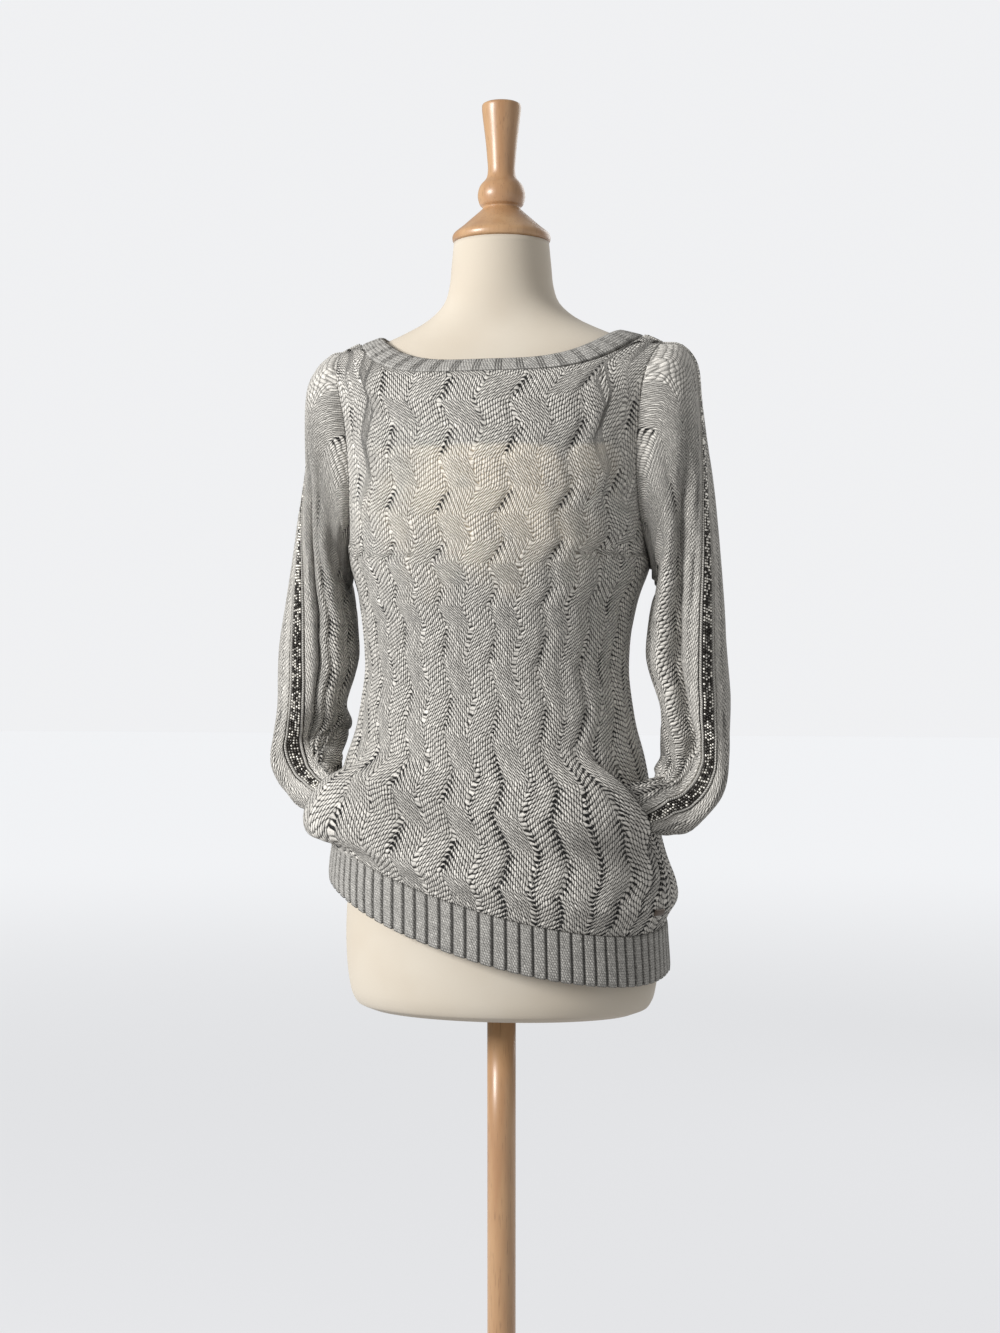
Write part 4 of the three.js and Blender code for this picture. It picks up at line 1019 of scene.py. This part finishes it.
def stitches_group():
    """Knit stitches on a cloth's uv, counted in grains and courses: a brick pattern of ovals
    that lean a little, made uneven by slow noise. Gives their height, the painted shade
    between them, which is darkest where three ovals meet and which a negative second cable
    number smooths away, the eyelets, a row of dots between the courses beside a cable's line,
    and each stitch's own random tone."""
    tree, n, given, result = new_group(
        "knit_stitches",
        [("Cloth", "Vector", None), ("Cable", "Vector", None), ("Slack", "Float", 1.0)],
        [("Height", "Float"), ("Gap", "Float"), ("Hole", "Float"), ("Tone", "Float")],
    )
    grains, courses, _ = n.parts(given["Cloth"])
    opening, second, _ = n.parts(given["Cable"])
    uneven = n.do("MULTIPLY", n.do("SUBTRACT", n.noise(given["Cloth"], 0.42, 2.0, 0.6), 0.5), 0.9)
    course = n.do("ADD", courses, uneven)
    number, within = n.do("FLOOR", course), n.do("FRACT", course)
    grain = n.do("ADD", grains, n.do("MULTIPLY", number, 0.5))
    grain = n.do("ADD", n.do("ADD", grain, n.do("MULTIPLY", within, 0.35)), uneven)
    across = n.from_edges(within)
    along = n.from_edges(n.do("FRACT", grain))
    reach = n.do(
        "ADD", n.do("MULTIPLY", n.do("POWER", across, 2.0), 0.85),
        n.do("MULTIPLY", n.do("POWER", along, 2.6), 0.95),
    )
    plain = n.do("ADD", 1.0, n.do("MINIMUM", second, 0.0))
    # Painted shade between the stitches, darkest where three ovals meet, scaled by Slack
    dark = n.do("MULTIPLY", n.ramp(reach, 0.4, 1.1), given["Slack"])
    link = n.from_edges(n.do("FRACT", n.do("MULTIPLY", grains, 1.2)))
    start = n.do("SUBTRACT", 0.8, n.do("MULTIPLY", opening, 0.65))
    hole = n.do("MULTIPLY", n.ramp(across, start, n.do("ADD", start, 0.25)), n.ramp(link, 0.98, 0.6))
    opened = n.do("MINIMUM", n.do("MULTIPLY", opening, 2.2), 1.0)
    place = n.put("CombineXYZ", _0=n.do("FLOOR", grain), _1=number)
    n.give(
        result, Height=n.do("SUBTRACT", 1.0, n.do("MINIMUM", reach, 1.5)),
        Gap=n.do("MULTIPLY", dark, plain), Hole=n.do("MULTIPLY", hole, opened),
        Tone=n.put("TexWhiteNoise", Vector=place),
    )
    return tree


def marl_group():
    """Marl yarn colour: fine light flecks and darker fibres over a slow change of tone, all
    from noise in object space."""
    tree, n, given, result = new_group(
        "marl_yarn",
        [("Light", "Color", (0.6, 0.58, 0.54, 1)), ("Dark", "Color", (0.3, 0.29, 0.27, 1)),
         ("Fleck", "Float", 1100.0)],
        [("Color", "Color"), ("Fleck", "Float")],
    )
    place = n.put("TexCoord", outputs=3)
    fine = n.noise(place, given["Fleck"], 2.0, 0.7)
    slow = n.noise(place, 14.0, 2.0)
    tone = n.ramp(fine, 0.34, 0.68)
    colour = n.blend(tone, given["Dark"], given["Light"])
    bright = n.blend(n.do("MULTIPLY", n.ramp(fine, 0.62, 0.75), 0.5), colour, (0.82, 0.81, 0.77, 1))
    shade = n.do("ADD", 0.9, n.do("MULTIPLY", slow, 0.2))
    n.give(result, Color=n.blend(1.0, bright, n.grey(shade), "MULTIPLY"), Fleck=fine)
    return tree


def start_material(name):
    """Material with its shader, output and short-named nodes."""
    material = bpy.data.materials.new(name)
    material.use_nodes = True
    tree = material.node_tree
    return material, Nodes(tree), tree.nodes["Principled BSDF"]


def use_group(n, group, **inputs):
    """Group node in a material, with its inputs set by name."""
    node = n.tree.nodes.new("ShaderNodeGroup")
    node.node_tree = group
    return n.give(node, **inputs).outputs


YARN = {"Light": (0.9, 0.865, 0.8, 1), "Dark": (0.56, 0.535, 0.49, 1)}
RIB_YARN = {"Light": (0.6, 0.58, 0.54, 1), "Dark": (0.33, 0.32, 0.3, 1)}
# Painted shade seen in the gaps between stitches and in the grooves
GAP_SHADE = (0.03, 0.028, 0.025, 1)
# Nearly black painted shade inside the eyelets and dots
EYELET_SHADE = (0.004, 0.004, 0.004, 1)
WARM = (0.97, 0.885, 0.75, 1)
# The form's cream seen through the gaps, dimmed by painted shade
WARM_GAP_SHADE = (0.5, 0.42, 0.31, 1)


def shows_through(n):
    """Where the form shows through the front: ramps of height, width and depth in metres,
    made uneven by noise, multiplied."""
    place = n.put("TexCoord", outputs=3)
    x, y, z = n.parts(place)
    uneven = n.do("MULTIPLY", n.do("SUBTRACT", n.noise(place, 22.0), 0.5), 0.12)
    height = n.do("ADD", z, uneven)
    across = n.do("ADD", x, uneven)
    top = n.do("ADD", z, n.do("MULTIPLY", uneven, 0.1))
    mask = n.do("MULTIPLY", n.ramp(height, 1.10, 1.22), n.ramp(top, 1.274, 1.266))
    mask = n.do("MULTIPLY", mask, n.do("MULTIPLY", n.ramp(across, -0.16, 0.01), n.ramp(across, 0.14, 0.075)))
    mask = n.do("MULTIPLY", mask, n.ramp(y, -0.02, -0.06))
    return n.do("MULTIPLY", mask, n.ramp(n.noise(place, 30.0, 1.0), 0.1, 0.5))


def knit_material(name, stitches, marl, shows_form=False, slack=1.0, bump=1.0, yarn_tones=YARN):
    """Knit: marl yarn, a little different in each stitch, with painted shade between stitches
    and in the grooves, eyelets painted nearly black as shaded holes, and warmed where the
    form shows through, its cream in the gaps dimmed by painted shade."""
    material, n, shader = start_material(name)
    cloth = n.put("UVMap", settings={"uv_map": "cloth"})
    cable = n.put("UVMap", settings={"uv_map": "cable"})
    knit = use_group(n, stitches, Cloth=cloth, Cable=cable, Slack=slack)
    yarn = use_group(n, marl, **yarn_tones)
    own = n.do("ADD", 0.84, n.do("MULTIPLY", knit["Tone"], 0.32))
    colour = n.blend(1.0, yarn["Color"], n.grey(own), "MULTIPLY")
    # Painted shade in the gaps between stitches; where the form shows through, its cream dimmed by painted
    # shade
    between = GAP_SHADE
    if shows_form:
        mask = shows_through(n)
        between = n.blend(mask, GAP_SHADE, WARM_GAP_SHADE)
        colour = n.blend(n.do("MULTIPLY", mask, 0.5), colour, WARM)
    colour = n.blend(knit["Gap"], colour, between)
    # Painted shade in the grooves and along the cable creases, from the cable uv's second number
    groove = n.do("MAXIMUM", n.parts(cable)[1], 0.0)
    colour = n.blend(n.do("MULTIPLY", groove, 0.85), colour, between)
    height = n.do("SUBTRACT", n.do("ADD", knit["Height"], n.do("MULTIPLY", yarn["Fleck"], 0.3)), knit["Hole"])
    # Eyelets and dots are painted nearly black: painted shade inside the holes
    n.give(
        shader, Base_Color=n.blend(knit["Hole"], colour, EYELET_SHADE),
        Normal=n.put("Bump", Strength=bump, Distance=0.0017, Height=height), Roughness=0.92,
        Sheen_Weight=0.08, Sheen_Roughness=0.5, Specular_IOR_Level=0.25,
    )
    return material


def tape_material(name, marl):
    """Trim tape: dark bed between knitted cords, told apart by the uv across it."""
    material, n, shader = start_material(name)
    across, along, _ = n.parts(n.put("UVMap", settings={"uv_map": "cloth"}))
    away = n.do("ABSOLUTE", across)
    yarn = use_group(n, marl, **YARN)
    cord = n.ramp(away, 0.69, 0.73)
    twist = n.do("FRACT", n.do("DIVIDE", n.do("ADD", along, n.do("MULTIPLY", away, 0.008)), 0.0024))
    ridge = n.do("SUBTRACT", 1.0, n.from_edges(twist))
    high = n.blend(0.45, yarn["Color"], (0.3, 0.29, 0.27, 1))
    light = n.blend(n.ramp(ridge, 0.0, 0.5), (0.12, 0.115, 0.1, 1), high)
    n.give(
        shader, Base_Color=n.blend(cord, (0.05, 0.045, 0.04, 1), light), Roughness=0.85,
        Normal=n.put("Bump", Strength=0.8, Distance=0.0006, Height=n.do("MULTIPLY", ridge, cord)),
    )
    return material


def bead_material(name):
    """Smoked metal and glass beads: each bead's own tone, from its uv, from nearly black to
    silver, and glossy."""
    material, n, shader = start_material(name)
    tone = n.parts(n.put("UVMap", settings={"uv_map": "cloth"}))[0]
    n.give(
        shader, Base_Color=n.blend(n.ramp(tone, 0.3, 0.8), (0.035, 0.03, 0.025, 1), (0.8, 0.77, 0.7, 1)),
        Roughness=n.do("ADD", 0.22, n.do("MULTIPLY", tone, 0.2)), Metallic=0.75, Coat_Weight=0.3,
    )
    return material


def bronze_material(name):
    """Dark bronze: brushed along its length, a little brighter where it is worn."""
    material, n, shader = start_material(name)
    place = n.put("TexCoord", outputs=3)
    brushed = n.noise(n.put("Mapping", _0=place, _3=(300, 300, 4000)), 1.0, 3.0)
    n.give(
        shader, Base_Color=n.blend(brushed, (0.05, 0.038, 0.03, 1), (0.13, 0.1, 0.078, 1)),
        Roughness=n.do("ADD", 0.28, n.do("MULTIPLY", brushed, 0.25)), Metallic=0.7,
    )
    return material


def cover_material(name):
    """Cream jersey: fine weave and slow unevenness of tone."""
    material, n, shader = start_material(name)
    place = n.put("TexCoord", outputs=3)
    slow = n.noise(place, 9.0, 3.0)
    fine = n.noise(n.put("Mapping", _0=place, _3=(1.0, 1.0, 1.6)), 900.0, 1.0)
    colour = n.blend(n.ramp(slow, 0.3, 0.7), (0.575, 0.505, 0.41, 1), (0.62, 0.56, 0.47, 1))
    n.give(
        shader, Roughness=0.8, Sheen_Weight=0.1,
        Base_Color=n.blend(n.do("MULTIPLY", n.ramp(fine, 0.3, 0.7), 0.12), colour, (0.6, 0.52, 0.4, 1)),
        Normal=n.put("Bump", Strength=0.25, Distance=0.0004, Height=fine),
    )
    return material


def wood_material(name, light, dark):
    """Turned beech: long grain up the piece with short darker pores, under a satin coat."""
    material, n, shader = start_material(name)
    place = n.put("TexCoord", outputs=3)
    grain = n.noise(n.put("Mapping", _0=place, _3=(34.0, 34.0, 5.0)), 1.0, 4.0, 0.55)
    pores = n.noise(n.put("Mapping", _0=place, _3=(700.0, 700.0, 45.0)), 1.0, 2.0)
    colour = n.blend(n.ramp(grain, 0.3, 0.7), dark, light)
    pore_dark = tuple(0.5 * c for c in dark[:3]) + (1,)
    n.give(
        shader, Base_Color=n.blend(n.do("MULTIPLY", n.ramp(pores, 0.58, 0.72), 0.45), colour, pore_dark),
        Roughness=n.do("ADD", 0.3, n.do("MULTIPLY", grain, 0.2)), Coat_Weight=0.35, Coat_Roughness=0.25,
        Normal=n.put("Bump", Strength=0.12, Distance=0.0004, Height=pores),
    )
    return material


# Camera, as the photograph's: level, 12 degrees round to the right, in metres
AZIMUTH = math.radians(12)
AXIS_DISTANCE, EYE_HEIGHT = 2.236, 1.049
FOCAL_PIXELS, FRAME_HEIGHT, AXIS_PIXELS_RIGHT = 2130, 1333, 1.5
camera_data = bpy.data.cameras.new("camera")
camera_data.sensor_width = 36
camera_data.lens = 36 * FOCAL_PIXELS / FRAME_HEIGHT
camera = bpy.data.objects.new("camera", camera_data)
camera.location = (AXIS_DISTANCE * math.sin(AZIMUTH), -AXIS_DISTANCE * math.cos(AZIMUTH), EYE_HEIGHT)
camera.rotation_euler = (math.pi / 2, 0, AZIMUTH + AXIS_PIXELS_RIGHT / FOCAL_PIXELS)
bpy.context.scene.collection.objects.link(camera)
bpy.context.scene.camera = camera

stitches, marl = stitches_group(), marl_group()
front_knit = knit_material("cable_knit_front", stitches, marl, shows_form=True)
body_knit = knit_material("cable_knit", stitches, marl)
rib_knit = knit_material("rib_knit", stitches, marl, slack=0.45, bump=0.6, yarn_tones=RIB_YARN)
tape, bead = tape_material("trim_tape", marl), bead_material("trim_beads")
wood = wood_material("beech", (0.52, 0.315, 0.16, 1), (0.39, 0.205, 0.095, 1))
cover = cover_material("form_cover")

# Knit pieces and the flat size each was knitted to, in metres, with its flat area
BODY_PIECES = (
    ("front", panel, FRONT, front_knit, (0.48, 0.56), 0.24),
    ("back", panel, BACK, body_knit, (0.48, 0.58), 0.23),
    ("hem_rib_front", hem_rib, FRONT, rib_knit, (0.5, 0.05), 0.025),
    ("hem_rib_back", hem_rib, BACK, rib_knit, (0.5, 0.05), 0.025),
    ("neckband_front", neckband, FRONT, rib_knit, (0.36, 0.034), 0.011),
    ("neckband_back", neckband, BACK, rib_knit, (0.36, 0.022), 0.0071),
)
for name, make, face, knit, flat, area in BODY_PIECES:
    made = piece("sweater_" + name, make(face), knit, [name])
for hand in HANDS:
    shape = SleeveShape(hand)
    name = hand["name"]
    cloth = piece("sweater_sleeve_" + name, sleeve(hand, shape), body_knit, ["sleeve_" + name])
    end = piece("sweater_cuff_" + name, cuff(shape), rib_knit, ["cuff_" + name])
    ribbon = piece("trim_tape_" + name, trim_tape(hand, shape), tape, ["bead_trim_" + name])
    row = piece("trim_beads_" + name, beads(hand, shape), bead)
for slit in SLITS:
    name = "right" if slit["side"] == RIGHT else "left"
    cloth = piece("pocket_underlay_" + name, pocket(slit), body_knit, ["pocket_" + name])
piece("hem_bar", bar(), bronze_material("dark_bronze"), ["metal_bar"])
solid("dress_form", form_rings(), cover, "form_torso")
solid("turned_neck_cap", turned_rings(CAP), wood, "neck_cap")
solid("turned_pole", turned_rings(POLE), wood, "stand_pole")
solid("turned_base", turned_rings(BASE), wood, "stand_base")

# Floor, backdrop colour and studio light, in metres
floor_mesh = bpy.data.meshes.new("floor")
reach = 30.0
corners = [(-reach, -reach, 0), (reach, -reach, 0), (reach, reach, 0), (-reach, reach, 0)]
floor_mesh.from_pydata(corners, [], [(0, 1, 2, 3)])
floor_material, floor_nodes, floor_shader = start_material("pale_floor")
floor_place = floor_nodes.put("TexCoord", outputs=3)
from_stand = floor_nodes.put("VectorMath", outputs=1, settings={"operation": "LENGTH"}, _0=floor_place)
from_near_to_far = floor_nodes.ramp(from_stand, 0.5, 9.5)
glow = floor_nodes.blend(from_near_to_far, (0.5, 0.505, 0.515, 1), (0.735, 0.745, 0.76, 1))
floor_nodes.give(
    floor_shader, Base_Color=(0.3, 0.3, 0.31, 1), Roughness=1.0, Emission_Color=glow, Emission_Strength=1.0,
)
floor_mesh.materials.append(floor_material)
floor = bpy.data.objects.new("floor", floor_mesh)
bpy.context.scene.collection.objects.link(floor)
floor.visible_diffuse = False


def lamp(name, place, target, size, power):
    """Soft square lamp that faces a target."""
    data = bpy.data.lights.new(name, "AREA")
    data.shape, data.size, data.energy = "SQUARE", size, power
    obj = bpy.data.objects.new(name, data)
    away = np.array(place, float) - np.array(target, float)
    flat = math.hypot(away[0], away[1])
    obj.location = place
    obj.rotation_euler = (math.atan2(flat, away[2]), 0, math.atan2(away[0], -away[1]))
    bpy.context.scene.collection.objects.link(obj)
    return obj


lamp("key", (-2.45, -2.35, 2.2), (0, 0, 1.1), 1.1, 146)
lamp("fill", (2.8, -2.4, 1.6), (0, 0, 1.1), 2.4, 5)
lamp("behind", (1.2, 2.8, 2.4), (0, 0, 1.2), 2.0, 25)

world = bpy.data.worlds.new("studio")
bpy.context.scene.world = world
world.use_nodes = True
sky = Nodes(world.node_tree)
background = world.node_tree.nodes["Background"]
seen = sky.put("LightPath")
sky.give(background, Color=sky.blend(seen, (0.42, 0.42, 0.42, 1), (0.87, 0.875, 0.89, 1)))
bpy.context.scene.view_settings.view_transform = "Standard"
